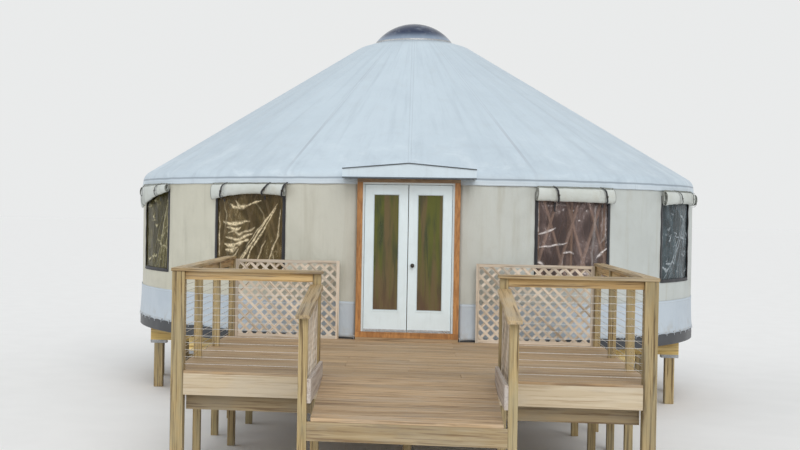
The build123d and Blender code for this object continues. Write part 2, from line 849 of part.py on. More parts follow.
def ramp_stringers():
    """Stringers under the ramp boards, hung between the deck's fascia and the toe beam."""
    head = -deck_front - seat_gap
    foot = -ramp_foot + ramp_stringer_width + seat_gap
    drop = (-foot - deck_front) * ramp_fall
    columns = (walk_inner_left + stringer_inset, deck_middle - ramp_stringer_width / 2,
               walk_inner_right - stringer_inset - ramp_stringer_width)
    tops = deck_top - ramp_board - seat_gap
    return [slanted(x, x + ramp_stringer_width, head, foot, tops, tops - drop, ramp_stringer_height)
            for x in columns]


def ramp_posts():
    """Lower posts of the ramp, from the ground to the sloping cap rail."""
    height = deck_top + ramp_rail_near - seat_gap
    columns = (walk_left - rail_post / 2, walk_right + rail_post / 2)
    return [post(x, -ramp_post_row, rail_post, 0, height - rail_post / 2 * rail_fall()) for x in columns]


def ramp_toe_beam():
    """Cross beam between the lower posts, under the ramp's foot."""
    top = deck_top - ramp_drop - ramp_board - seat_gap
    return block(walk_left + seat_gap, walk_right - seat_gap, -ramp_foot, -ramp_foot + ramp_stringer_width,
                 top - toe_beam_height, top)


def rail_fall():
    """Fall of the sloping cap rails, for each millimetre of run."""
    return (ramp_rail_far - ramp_rail_near) / (ramp_post_row - gate_face)


def ramp_screen(side):
    """Garden lattice under a sloping cap rail, from the gate's post to the lower post."""
    start = -ramp_post_row + rail_post / 2 + seat_gap
    end = -gate_face - seat_gap
    low = deck_top + seat_gap
    high = deck_top + ramp_rail_far - seat_gap
    fall = rail_fall() * (end - start)
    width, height = end - start, high - low
    under_cap = Polygon((0, 0), (width, 0), (width, height), (0, height - fall), align=None)
    x = walk_left - rail_post / 2 if side < 0 else walk_right + rail_post / 2
    screen = extrude(Plane.YZ * strip_lattice(under_cap, width, height), screen_depth / 2, both=True)
    return Pos(x, start, low) * screen


def ramp_cap_rails():
    head = -gate_face - seat_gap
    foot = -ramp_foot - ramp_rail_end
    far = deck_top + ramp_rail_far + cap_thickness
    near = far - rail_fall() * (-foot + head)
    half = cap_width / 2
    columns = (walk_left - rail_post / 2, walk_right + rail_post / 2)
    return [slanted(x - half, x + half, head, foot, far, near, cap_thickness) for x in columns]


def ramp_side_boards():
    top = deck_top + ramp_side_top
    low = top - ramp_side_height
    thickness = ramp_side_thickness - seat_gap
    return [block(x + seat_gap, x + thickness, -ramp_foot, -deck_front - seat_gap, low, top)
            for x in (walk_left, walk_right - ramp_side_thickness)]


def main():
    os.makedirs("parts", exist_ok=True)
    write("platform_floor", platform_floor())
    write("platform_rim", platform_rim())
    write("platform_joists", platform_joists())
    write("platform_girders", platform_girders())
    write("platform_saddles", platform_saddles())
    write("platform_piers", platform_piers())
    write("wall_cover_piers", wall_cover_piers())
    write("wall_cover_at_windows", wall_cover_at_windows())
    write("wall_lower_band", lower_band())
    write("wall_studs", wall_studs())
    write("rafters", rafters())
    write("centre_ring", centre_ring())
    write("dome_curb", dome_curb())
    write("skylight_dome", skylight_dome())
    write("roof_cover", roof_cover())
    write("window_panes", window_panes())
    write("window_borders", window_borders())
    write("window_flap_rolls", window_flap_rolls())
    write("window_straps", window_straps())
    write("door_frame", door_frame())
    write("door_jamb", door_jamb())
    for side, word in ((-1, "left"), (1, "right")):
        write(f"lattice_wall_{word}", lattice_wall(side))
        write(f"door_leaf_{word}", door_leaf(side))
        write(f"door_glass_{word}", door_glass(side))
        write(f"door_hinges_{word}", door_hinges(side))
        write(f"rail_wires_{word}", rail_wires(side))
        write(f"lattice_screen_{word}", [lattice_screen(side), ramp_screen(side)])
    write("door_knob", door_knob())
    write("door_awning", door_awning())
    write("deck_boards", deck_boards())
    write("deck_fascia", deck_fascia())
    write("deck_joists", deck_joists())
    write("deck_beams", deck_beams())
    write("deck_posts", deck_posts() + beam_posts() + ramp_posts())
    write("cap_rails", cap_rails() + ramp_cap_rails())
    write("sub_rails", sub_rails())
    write("ramp_deck", ramp_deck())
    write("ramp_stringers", ramp_stringers() + [ramp_toe_beam()])
    write("ramp_side_boards", ramp_side_boards())


main()
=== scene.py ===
"""Looks of the thirty-foot yurt: fabric skins, vinyl windows, boards, rails, doors, light and camera.

Metres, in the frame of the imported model. Azimuths are degrees from the front, positive towards +X.
"""
import random
from collections import namedtuple
from math import asin, ceil, cos, degrees, exp, hypot, pi, radians, sin, sqrt, tan

import bpy
import bmesh
from mathutils import Matrix, Vector, noise


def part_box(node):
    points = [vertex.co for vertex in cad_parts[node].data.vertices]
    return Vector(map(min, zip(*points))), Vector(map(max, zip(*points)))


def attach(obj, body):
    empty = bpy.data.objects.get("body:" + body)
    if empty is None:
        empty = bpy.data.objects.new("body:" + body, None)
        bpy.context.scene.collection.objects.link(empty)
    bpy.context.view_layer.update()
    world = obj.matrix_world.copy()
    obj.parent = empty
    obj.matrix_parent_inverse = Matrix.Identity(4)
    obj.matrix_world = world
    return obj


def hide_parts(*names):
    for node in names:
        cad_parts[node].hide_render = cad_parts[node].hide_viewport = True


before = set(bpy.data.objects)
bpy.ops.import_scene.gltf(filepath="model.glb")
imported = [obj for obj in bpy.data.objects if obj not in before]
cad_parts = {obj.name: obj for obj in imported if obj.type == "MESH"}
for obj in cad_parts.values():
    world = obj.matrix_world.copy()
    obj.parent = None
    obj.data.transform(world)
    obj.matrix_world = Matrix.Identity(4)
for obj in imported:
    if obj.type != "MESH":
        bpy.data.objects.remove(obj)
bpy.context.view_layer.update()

# Sizes that the looks share with the solids, in metres, radians for slopes and degrees for azimuths
FLOOR = 1.2
WALL_RADIUS = 4.572
WALL_HEIGHT = 2.15
WALL_TOP = FLOOR + WALL_HEIGHT
WINDOW_AZIMUTHS = (30.3, 61.8, 93.0, 124.5, 156.0)
WINDOWS = sorted([-a for a in WINDOW_AZIMUTHS] + list(WINDOW_AZIMUTHS))
WINDOW_WIDTH = 1.23
WINDOW_HALF = degrees(WINDOW_WIDTH / 2 / WALL_RADIUS)
FLAP_HALF = WINDOW_HALF + 0.5
WINDOW_SILL = FLOOR + 0.765
WINDOW_HEAD = FLOOR + 2.01
SHEET_HEIGHT = WINDOW_HEAD - WINDOW_SILL
BAND_TOP = FLOOR + 0.47
HEM_RADIUS = 4.586
HEM_HEIGHT = FLOOR + 2.107
SHOULDER = 0.2
HEM_UPRIGHT = 0.052
RAFTER_PITCH = 7.125
FIRST_RAFTER = 9.0
GORE_PITCH = 22.5
ROOF_SLOPE = radians(31.5)
FLAT_SLOPE = radians(17.0)
RING_BREAK = 0.903
CURB_OUTER = 0.64
DOME_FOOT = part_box("skylight_dome")[0].z
DECK_TOP = FLOOR - 0.046
DOOR_HALF = 0.7023
DOOR_EDGE = degrees(asin(DOOR_HALF / (WALL_RADIUS - 0.015)))
AWNING_EAVE = FLOOR + 2.310
RIM_RADIUS = 4.6035
BOARD_PITCH = 0.1445
BOARD_THICKNESS = 0.038
RAMP_CAP_FALL = (0.932 - 0.745) / (10.290 - 8.7117)  # metres down for each metre along

# Rolled flaps by the azimuth of their window: how far the roll's left end, middle and right end reach
# below the roof's hem, and how far its lower corners are pinched in
FLAPS = {
    -30.3: (0.255, 0.165, 0.195, 0.0),
    30.3: (0.205, 0.215, 0.225, 0.05),
    -61.8: (0.40, 0.24, 0.13, 0.02),
    61.8: (0.235, 0.20, 0.215, 0.03),
}
USUAL_FLAP = (0.20, 0.22, 0.20, 0.03)
# Straps of a window from left to right: where each leaves the hem and where it passes under the roll,
# from -1 to 1 across the flap, and the length of its tail
STRAPS = {
    -30.3: ((-0.60, -0.68, 0.03), (0.60, 0.46, 0.05), (1.02, 0.96, 0.03)),
    30.3: ((-0.56, -0.52, 0.11), (0.66, 0.72, 0.03)),
    -61.8: ((-0.55, -0.60, 0.04), (0.50, 0.44, 0.06)),
    61.8: ((-0.35, -0.20, 0.05), (0.58, 0.60, 0.04)),
}
USUAL_STRAPS = ((-0.6, -0.6, 0.05), (0.6, 0.6, 0.08))
STRAP_OUT = 0.128

# The photograph's camera, in its own pixels
PHOTO_WIDTH = 800
PHOTO_FOCAL = 1331.67
PHOTO_CENTRE = 240
CAMERA_PLACE = (0.1537, -23.0599, 2.8976)
CAMERA_YAW = 0.134
CAMERA_PITCH = -0.0101
CAMERA_ROLL = 0.0162

WORLD_LIGHT = 0.60
LIGHTS_AIM = (0.0, 0.0, 2.0)

Limits = namedtuple("Limits", "x0 x1 y0 y1 z0 z1")


def link(obj):
    bpy.context.scene.collection.objects.link(obj)
    return obj


def mesh_object(name, vertices, faces, material, smooth=True):
    mesh = bpy.data.meshes.new(name)
    mesh.from_pydata([tuple(v) for v in vertices], [], faces)
    mesh.update()
    if smooth:
        mesh.shade_smooth()
    mesh.materials.append(material)
    return link(bpy.data.objects.new(name, mesh))


def bmesh_object(name, source, material):
    mesh = bpy.data.meshes.new(name)
    source.to_mesh(mesh)
    source.free()
    mesh.materials.append(material)
    return link(bpy.data.objects.new(name, mesh))


def declare(obj, slot, nodes=(), body="root"):
    """Hide the nodes that a piece stands for and hang it on the body it rides on; the slot is not used."""
    if nodes:
        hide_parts(*nodes)
    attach(obj, body)
    return obj


def mark(obj, label, values):
    """Keep a number or a vector for each point of a mesh, for its finish to read."""
    if isinstance(values[0], (float, int)):
        obj.data.attributes.new(label, "FLOAT", "POINT").data.foreach_set("value", values)
    else:
        layer = obj.data.attributes.new(label, "FLOAT_VECTOR", "POINT")
        layer.data.foreach_set("vector", [c for v in values for c in v])


def thicken(obj, thickness, offset=0.0):
    """Thicken a sheet to both sides, or inwards where the offset is -1."""
    solid = obj.modifiers.new("thickness", "SOLIDIFY")
    solid.thickness = thickness
    solid.offset = offset


def ease(obj, width):
    """Round the sharp edges of a hard piece."""
    bevel = obj.modifiers.new("edges", "BEVEL")
    bevel.width = width
    bevel.segments = 2
    bevel.limit_method = "ANGLE"
    bevel.angle_limit = radians(40)


def outward(place):
    """Direction from the yurt's axis to a place, on the level."""
    return Vector((place.x, place.y, 0)).normalized()


def facing(place):
    """Frame at a place on the wall with its z outward."""
    return Matrix.Translation(place) @ outward(place).to_track_quat("Z", "Y").to_matrix().to_4x4()


# Node materials
class Nodes:
    """A node tree, with short ways to add to it."""

    def __init__(self, tree):
        self.tree = tree
        tree.nodes.clear()

    def add(self, kind, **settings):
        node = self.tree.nodes.new(kind)
        for key, value in settings.items():
            setattr(node, key, value)
        return node

    def join(self, source, target):
        self.tree.links.new(source, target)

    def node(self, kind, inputs, output=0, **settings):
        """Add a node, set or join its inputs and give one of its outputs."""
        node = self.add(kind, **settings)
        for key, value in inputs.items():
            if isinstance(value, (int, float, tuple)):
                node.inputs[key].default_value = value
            else:
                self.join(value, node.inputs[key])
        return node.outputs[output]

    def math(self, kind, a, b=0.0):
        return self.node("ShaderNodeMath", {0: a, 1: b}, operation=kind)


class Shader(Nodes):
    """A principled material, with the procedural nodes that the finishes use."""

    def __init__(self, name, roughness=0.6, **inputs):
        self.material = bpy.data.materials.new(name)
        self.material.use_nodes = True
        super().__init__(self.material.node_tree)
        self.bsdf = self.add("ShaderNodeBsdfPrincipled")
        self.bsdf.inputs["Roughness"].default_value = roughness
        for key, value in inputs.items():
            self.bsdf.inputs[key.replace("_", " ")].default_value = value
        self.output = self.add("ShaderNodeOutputMaterial")
        self.join(self.bsdf.outputs[0], self.output.inputs["Surface"])
        self.place = self.add("ShaderNodeTexCoord").outputs["Object"]

    def attribute(self, name, output="Fac"):
        return self.node("ShaderNodeAttribute", {}, output, attribute_name=name)

    def scaled(self, vector, scale):
        return self.node("ShaderNodeMapping", {"Vector": vector, "Scale": scale})

    def noise(self, vector, scale, detail, rough, distortion=0.0):
        inputs = {"Vector": vector, "Scale": scale, "Detail": detail, "Roughness": rough}
        return self.node("ShaderNodeTexNoise", {**inputs, "Distortion": distortion}, "Fac")

    def wave(self, vector, scale, distortion, detail, direction):
        inputs = {"Vector": vector, "Scale": scale, "Distortion": distortion, "Detail": detail}
        return self.node("ShaderNodeTexWave", inputs, "Fac", bands_direction=direction)

    def cells(self, vector, scale):
        return self.node("ShaderNodeTexVoronoi", {"Vector": vector, "Scale": scale}, "Distance")

    def remap(self, value, low, high, out_low=0.0, out_high=1.0):
        inputs = {"Value": value, "From Min": low, "From Max": high, "To Min": out_low, "To Max": out_high}
        return self.node("ShaderNodeMapRange", inputs, "Result", interpolation_type="SMOOTHSTEP")

    def times(self, a, b):
        return self.math("MULTIPLY", a, b)

    def plus(self, a, b):
        return self.math("ADD", a, b)

    def part(self, vector, axis):
        return self.node("ShaderNodeSeparateXYZ", {0: vector}, axis)

    def mix(self, share, a, b, blend="MIX"):
        a, b = ((*c, 1.0) if isinstance(c, tuple) else c for c in (a, b))
        inputs = {"Factor": share, 6: a, 7: b}
        return self.node("ShaderNodeMix", inputs, 2, data_type="RGBA", blend_type=blend)

    def layer(self, under, value, low, high, most, colour):
        """Lay a colour over another as a value runs from low to high."""
        return self.mix(self.remap(value, low, high, 0.0, most), under, colour)

    def line(self, value, middle, reach, most):
        """A thin line where a value is near its middle."""
        away = self.math("ABSOLUTE", self.math("SUBTRACT", value, middle))
        return self.remap(away, 0.0, reach, most, 0.0)

    def toned(self, colour, value, dark):
        """Darken a colour by as much as a value is low."""
        return self.mix(1.0, colour, self.mix(value, dark, (1.0, 1.0, 1.0)), "MULTIPLY")

    def clouds(self, broad, small, fine, twist):
        """The three sizes of noise that a cover's tones come from."""
        return (self.noise(self.place, broad, 4.0, 0.55, twist), self.noise(self.place, small, 5.0, 0.6, 0.4),
                self.noise(self.place, fine, 4.0, 0.6))

    def bump(self, height, strength, distance, under=None):
        inputs = {"Height": height, "Strength": strength, "Distance": distance}
        if under is not None:
            inputs["Normal"] = under
        return self.node("ShaderNodeBump", inputs, "Normal")

    def finish(self, colour, roughness=None, normal=None):
        for key, value in (("Base Color", colour), ("Roughness", roughness), ("Normal", normal)):
            if value is not None:
                self.join(value, self.bsdf.inputs[key])
        return self.material

    def see_through(self, tint, share):
        """Let a share of the light straight through, tinted."""
        clear = self.node("ShaderNodeBsdfTransparent", {"Color": (*tint, 1.0)})
        blend = self.node("ShaderNodeMixShader", {"Fac": share, 1: self.bsdf.outputs[0], 2: clear})
        self.join(blend, self.output.inputs["Surface"])
        return self.material


def timber(name, light, middle, dark, grey, weather):
    """Sawn board: the grain runs along x of the board's grain attribute, and each board has its tone."""
    s = Shader(name)
    grain = s.attribute("grain", "Vector")
    tone = s.attribute("tone")
    broad = s.noise(s.scaled(grain, (0.5, 8.0, 8.0)), 1.6, 4.0, 0.6, 0.6)
    streak = s.noise(s.scaled(grain, (0.8, 26.0, 26.0)), 1.5, 5.0, 0.62, 0.3)
    rings = s.wave(s.scaled(grain, (0.35, 7.0, 7.0)), 3.0, 6.0, 3.0, "Y")
    fibre = s.noise(s.scaled(grain, (5.0, 190.0, 190.0)), 1.6, 3.0, 0.7)
    blend = s.plus(s.times(broad, 0.75), s.times(rings, 0.25))
    colour = s.mix(s.remap(blend, 0.40, 0.58), light, middle)
    colour = s.layer(colour, streak, 0.49, 0.63, 0.90, dark)
    colour = s.layer(colour, fibre, 0.55, 0.80, 0.40, dark)
    knot = s.cells(s.scaled(grain, (1.3, 6.0, 6.0)), 0.9)
    colour = s.mix(s.remap(knot, 0.04, 0.12, 0.6, 0.0), colour, dark)
    worn = s.noise(s.scaled(grain, (1.2, 5.0, 5.0)), 1.3, 4.0, 0.6, 0.3)
    colour = s.layer(colour, worn, 0.42, 0.66, weather, grey)
    colour = s.toned(colour, tone, (0.70, 0.69, 0.67))
    relief = s.plus(s.times(fibre, 0.5), s.times(streak, 0.8))
    return s.finish(colour, s.remap(streak, 0.3, 0.8, 0.52, 0.78), s.bump(relief, 0.35, 0.002))


def plain_timber(name, light, dark, rough=0.66, along=(24.0, 24.0, 4.0)):
    """Timber of a node shown as it was built: the grain runs the way in which along is smallest."""
    s = Shader(name)
    cloud = s.noise(s.scaled(s.place, tuple(0.12 * a + 1.0 for a in along)), 1.2, 5.0, 0.6, 0.6)
    fine = s.noise(s.scaled(s.place, along), 1.6, 6.0, 0.65, 0.3)
    island = s.add("ShaderNodeNewGeometry").outputs["Random Per Island"]
    colour = s.mix(s.remap(fine, 0.38, 0.68), light, dark)
    colour = s.layer(colour, cloud, 0.40, 0.66, 0.5, dark)
    colour = s.toned(colour, island, (0.80, 0.79, 0.77))
    return s.finish(colour, s.remap(fine, 0.3, 0.8, rough - 0.1, rough + 0.15), s.bump(fine, 0.3, 0.002))


def fabric(name, base, shade, stain, rough, cloudy):
    """Cord and webbing: fine weave, soft clouds of tone, faint water marks that run down."""
    s = Shader(name, Sheen_Weight=0.1)
    cloud = s.noise(s.place, 0.7, 4.0, 0.55, 0.6)
    small = s.noise(s.place, 4.5, 5.0, 0.6, 0.4)
    runs = s.noise(s.scaled(s.place, (5.0, 5.0, 0.55)), 1.4, 5.0, 0.62, 0.3)
    speck = s.noise(s.place, 60.0, 3.0, 0.6)
    colour = s.mix(s.remap(cloud, 0.35, 0.68, 0.0, cloudy), base, shade)
    colour = s.layer(colour, runs, 0.50, 0.74, 0.42, stain)
    colour = s.layer(colour, small, 0.50, 0.75, 0.22, stain)
    colour = s.layer(colour, speck, 0.62, 0.78, 0.14, stain)
    warp = s.wave(s.place, 180.0, 0.4, 1.0, "Z")
    weft = s.noise(s.place, 900.0, 2.0, 0.5)
    relief = s.plus(s.times(warp, 0.35), s.times(weft, 0.5))
    soft = s.bump(s.noise(s.scaled(s.place, (2.2, 2.2, 0.9)), 1.7, 3.0, 0.5, 0.8), 0.35, 0.03)
    roughness = s.remap(small, 0.3, 0.7, rough - 0.07, rough + 0.12)
    return s.finish(colour, roughness, s.bump(relief, 0.16, 0.001, soft))


def vinyl(name, tint, fold, clear, gloss=1.28):
    """Clear flexible window sheet: tinted, with painted highlights along its folds and fine creases."""
    s = Shader(name, roughness=0.25, IOR=gloss)
    flat = s.attribute("sheet", "Vector")
    lit = s.attribute("glint")
    broad = s.noise(s.scaled(flat, (1.5, 1.0, 1.0)), 2.2, 3.0, 0.5, 1.2)
    crease = s.noise(s.scaled(flat, (7.0, 2.0, 1.0)), 1.5, 4.0, 0.55, 1.6)
    torn = s.noise(flat, 22.0, 4.0, 0.7, 0.9)
    # Painted highlights: pale lines on the fine creases and pale lights along the folds of the glint
    # attribute; the sheet lets less through there.
    thin = s.times(s.line(crease, 0.5, 0.014, 0.55), s.remap(broad, 0.50, 0.62))
    strong = s.times(s.remap(lit, 0.20, 0.95), s.remap(torn, 0.38, 0.58, 0.15, 1.0))
    glint = s.math("MAXIMUM", thin, strong)
    tone = s.mix(s.remap(broad, 0.38, 0.66), tint, tuple(2.0 * c for c in tint))
    # The colour named fold is the colour of the painted highlights, with a faint painted glow round the
    # folds.
    tone = s.mix(s.remap(lit, 0.0, 0.5, 0.0, 0.35), tone, fold)
    colour = s.mix(glint, tone, fold)
    relief = s.bump(s.plus(crease, s.times(lit, 0.8)), 0.7, 0.012)
    s.finish(colour, s.remap(glint, 0.0, 1.0, 0.18, 0.40), relief)
    seen = [min(1.0, 0.55 + 2.2 * c) for c in tint]
    return s.see_through(seen, s.times(s.remap(glint, 0.0, 0.8, 1.0, 0.05), clear))


def glazing(name, olive, brown, deep, clear):
    """Door glass: a dim tinted pane with painted reflections in soft upright tones, partly see-through."""
    s = Shader(name, roughness=0.06, IOR=1.35)
    tall = s.noise(s.scaled(s.place, (6.0, 1.0, 0.35)), 1.3, 3.0, 0.5, 0.3)
    small = s.noise(s.scaled(s.place, (8.0, 1.0, 1.0)), 1.5, 3.0, 0.5, 0.5)
    # Painted reflections: soft upright tones, and a warm brown low on the pane.
    low = s.remap(s.part(s.place, "Z"), FLOOR + 0.35, FLOOR + 1.0, 0.65, 0.0)
    colour = s.mix(s.remap(tall, 0.42, 0.58), olive, brown)
    colour = s.layer(colour, small, 0.42, 0.72, 0.75, deep)
    colour = s.mix(s.times(low, s.remap(small, 0.35, 0.6)), colour, (0.17, 0.085, 0.055))
    haze = s.noise(s.place, 2.0, 2.0, 0.5)
    s.finish(colour, s.remap(haze, 0.3, 0.7, 0.04, 0.10), s.bump(haze, 0.02, 0.01))
    return s.see_through((0.66, 0.62, 0.42), clear)


def paint(name, base, dirt, rough, orange=0.12, streaks=0.35):
    """Brushed or rolled paint: slight orange peel, dust in the low places and faint runs."""
    s = Shader(name, Coat_Weight=0.15)
    cloud = s.noise(s.place, 2.4, 4.0, 0.55, 0.4)
    runs = s.noise(s.scaled(s.place, (12.0, 12.0, 1.0)), 1.5, 4.0, 0.6, 0.2)
    peel = s.noise(s.place, 220.0, 2.0, 0.5)
    speck = s.noise(s.place, 40.0, 4.0, 0.7)
    colour = s.mix(s.remap(cloud, 0.40, 0.72, 0.0, 0.35), base, dirt)
    colour = s.layer(colour, runs, 0.52, 0.75, streaks, dirt)
    colour = s.layer(colour, speck, 0.66, 0.80, 0.3, dirt)
    roughness = s.remap(cloud, 0.3, 0.7, rough - 0.06, rough + 0.12)
    return s.finish(colour, roughness, s.bump(peel, orange, 0.0008))


def metal(name, base, dull, rough=0.35, scale=1.0):
    """Bare or plated metal: spangle and rubbed patches."""
    s = Shader(name, Metallic=0.9)
    spangle = s.cells(s.place, 55.0 * scale)
    cloud = s.noise(s.place, 6.0 * scale, 5.0, 0.6, 0.5)
    colour = s.mix(s.remap(spangle, 0.1, 0.6), base, dull)
    colour = s.layer(colour, cloud, 0.5, 0.72, 0.6, dull)
    roughness = s.remap(cloud, 0.3, 0.7, rough - 0.08, rough + 0.18)
    return s.finish(colour, roughness, s.bump(spangle, 0.08, 0.0006))


def acrylic(name, deep, pale):
    """Tinted dome: deep blue, with a painted reflection that pales it round its foot, paler streaks and faint
    dust.
    """
    s = Shader(name, roughness=0.14, IOR=1.32)
    dust = s.noise(s.place, 9.0, 5.0, 0.6, 0.5)
    # Painted reflection: the dome pales towards its foot.
    low = s.remap(s.part(s.place, "Z"), DOME_FOOT, DOME_FOOT + 0.13, 1.0, 0.0)
    streak = s.noise(s.scaled(s.place, (3.0, 3.0, 9.0)), 1.5, 3.0, 0.5, 0.6)
    fade = s.math("MAXIMUM", s.times(low, 0.8), s.remap(streak, 0.50, 0.75, 0.0, 0.25))
    colour = s.mix(fade, deep, pale)
    colour = s.layer(colour, dust, 0.5, 0.75, 0.12, (0.6, 0.62, 0.62))
    return s.finish(colour, s.remap(dust, 0.3, 0.7, 0.10, 0.24), s.bump(dust, 0.03, 0.003))


def floorboards(name, light, dark):
    """Tongued floor inside the yurt: its boards run along Y."""
    s = Shader(name)
    turned = s.node("ShaderNodeMapping", {"Vector": s.place, "Rotation": (0.0, 0.0, radians(90))})
    between = tuple(0.5 * (a + b) for a, b in zip(light, dark))
    joint = tuple(0.3 * c for c in dark)
    boards = s.add("ShaderNodeTexBrick", offset=0.37)
    s.join(turned, boards.inputs["Vector"])
    sizes = {"Scale": 1.0, "Brick Width": 2.4, "Row Height": 0.12, "Mortar Size": 0.002,
             "Color1": (*light, 1.0), "Color2": (*between, 1.0), "Mortar": (*joint, 1.0)}
    for key, value in sizes.items():
        boards.inputs[key].default_value = value
    grain = s.noise(s.scaled(s.place, (45.0, 2.0, 45.0)), 1.6, 5.0, 0.6, 0.3)
    colour = s.mix(s.remap(grain, 0.4, 0.75, 0.0, 0.6), boards.outputs["Color"], dark)
    roughness = s.remap(grain, 0.3, 0.7, 0.35, 0.55)
    return s.finish(colour, roughness, s.bump(boards.outputs["Fac"], -0.3, 0.002))


# Boards
class Boards:
    """Boards of one timber, gathered in one mesh, each with its own grain and tone."""

    def __init__(self, name, material, slot, edge, seed):
        self.name, self.material, self.slot, self.edge = name, material, slot, edge
        self.pick = random.Random(seed)
        self.vertices, self.faces, self.grain, self.tone = [], [], [], []

    def prism(self, outline, out, depth, along):
        """A flat outline of points, thickened by depth along out; the grain runs along a direction."""
        out, along = Vector(out).normalized(), Vector(along).normalized()
        across = out.cross(along)
        shift = Vector((self.pick.uniform(0, 40), self.pick.uniform(0, 40), self.pick.uniform(0, 40)))
        tone = self.pick.random()
        base = len(self.vertices)
        count = len(outline)
        for lift in (0.0, depth):
            for point in outline:
                place = Vector(point) + out * lift
                self.vertices.append(place)
                self.grain.append(Vector((place.dot(along), place.dot(across), lift)) + shift)
                self.tone.append(tone)
        normal = Vector((0, 0, 0))
        for k in range(count):
            normal += Vector(outline[k]).cross(Vector(outline[(k + 1) % count]))
        low = list(range(base, base + count))
        high = [k + count for k in low]
        towards = normal.dot(out) > 0
        if towards:
            low.reverse()
        else:
            high.reverse()
        self.faces += [low, high]
        for k in range(count):
            a, b = base + k, base + (k + 1) % count
            side = [a, b, b + count, a + count]
            self.faces.append(side if towards else side[::-1])

    def plank(self, start, end, side, width, depth):
        """A straight board between the middles of its two ends; width lies along side."""
        start, end = Vector(start), Vector(end)
        along = (end - start).normalized()
        side = Vector(side)
        side = (side - along * side.dot(along)).normalized()
        out = along.cross(side)
        half = side * width / 2
        low = -out * depth / 2
        outline = [start - half + low, end - half + low, end + half + low, start + half + low]
        self.prism(outline, out, depth, along)

    def box(self, limits, axis):
        """An upright board from its limits, with its grain along X, Y or Z."""
        x0, x1, y0, y1, z0, z1 = limits
        if axis == "Z":
            outline = [(x0, y0, z0), (x0, y0, z1), (x1, y0, z1), (x1, y0, z0)]
            self.prism(outline, (0, 1, 0), y1 - y0, (0, 0, 1))
        else:
            outline = [(x0, y0, z0), (x1, y0, z0), (x1, y1, z0), (x0, y1, z0)]
            self.prism(outline, (0, 0, 1), z1 - z0, (1, 0, 0) if axis == "X" else (0, 1, 0))

    def make(self, *nodes):
        obj = mesh_object(self.name, self.vertices, self.faces, self.material, smooth=False)
        mark(obj, "grain", self.grain)
        mark(obj, "tone", self.tone)
        if self.edge:
            ease(obj, self.edge)
        declare(obj, self.slot, nodes)


def clipped(polygon, fence):
    """A convex flat polygon cut to a convex fence, whose corners run counter-clockwise."""
    for (ax, ay), (bx, by) in zip(fence, fence[1:] + fence[:1]):
        kept = []
        for p, q in zip(polygon, polygon[1:] + polygon[:1]):
            inside_p = (bx - ax) * (p[1] - ay) - (by - ay) * (p[0] - ax)
            inside_q = (bx - ax) * (q[1] - ay) - (by - ay) * (q[0] - ax)
            if inside_p >= 0:
                kept.append(p)
            if inside_p * inside_q < 0:
                t = inside_p / (inside_p - inside_q)
                kept.append((p[0] + t * (q[0] - p[0]), p[1] + t * (q[1] - p[1])))
        polygon = kept
        if len(polygon) < 3:
            return []
    return polygon


# Skins round the yurt
def heading(azimuth):
    """x and y of a step outward at an azimuth."""
    return sin(radians(azimuth)), -cos(radians(azimuth))


def polar(azimuth, radius, height):
    x, y = heading(azimuth)
    return Vector((radius * x, radius * y, height))


def ripple(x, y, z=0.0):
    """Smooth noise from -1 to 1."""
    return noise.noise(Vector((x, y, z)))


class Skin:
    """A sheet on a grid of columns and rows, with holes left out and named attributes on its points."""

    def __init__(self, columns, rows, place, skip=None, closed=False):
        count = len(rows)
        self.points = [place(c, r) for c in columns for r in rows]
        self.faces = []
        spans = len(columns) if closed else len(columns) - 1
        for i in range(spans):
            j = (i + 1) % len(columns)
            for k in range(count - 1):
                if skip and skip(i, k):
                    continue
                self.faces.append([i * count + k, j * count + k, j * count + k + 1, i * count + k + 1])

    def make(self, name, material, thickness, attributes, slot, nodes=()):
        obj = mesh_object(name, self.points, self.faces, material)
        for label, values in attributes.items():
            mark(obj, label, values)
        work = bmesh.new()
        work.from_mesh(obj.data)
        bmesh.ops.delete(work, geom=[v for v in work.verts if not v.link_faces], context="VERTS")
        work.to_mesh(obj.data)
        work.free()
        if thickness:
            thicken(obj, thickness, -1.0)
        return declare(obj, slot, nodes)


def signed(azimuth):
    """An azimuth from 0 to 360 as one from -180 to 180."""
    return (azimuth + 180) % 360 - 180


def bound(value, low=0.0):
    """A value kept between low and 1."""
    return min(1.0, max(low, value))


def spread(start, end, step):
    """Even stations from start to end, about a step apart."""
    count = max(1, ceil(abs(end - start) / step))
    return [start + (end - start) * k / count for k in range(count + 1)]


# Finishes
BAND_CORD = fabric("band_cord", (0.58, 0.62, 0.66), (0.48, 0.52, 0.56), (0.40, 0.40, 0.38), 0.62, 0.5)
WEBBING = fabric("black_webbing", (0.022, 0.022, 0.027), (0.015, 0.015, 0.019),
                 (0.05, 0.05, 0.05), 0.75, 0.4)
# The third colour of each sheet is the colour of its painted highlights.
VINYL_SHEETS = {
    "left": vinyl("window_vinyl_left", (0.092, 0.066, 0.027), (0.84, 0.70, 0.46), 0.35),
    "right": vinyl("window_vinyl_right", (0.150, 0.110, 0.102), (0.80, 0.74, 0.72), 0.50),
    "far_left": vinyl("window_vinyl_far_left", (0.056, 0.048, 0.015), (0.66, 0.60, 0.38), 0.18, 1.14),
    "far_right": vinyl("window_vinyl_far_right", (0.043, 0.060, 0.068), (0.58, 0.64, 0.68), 0.20, 1.16),
}
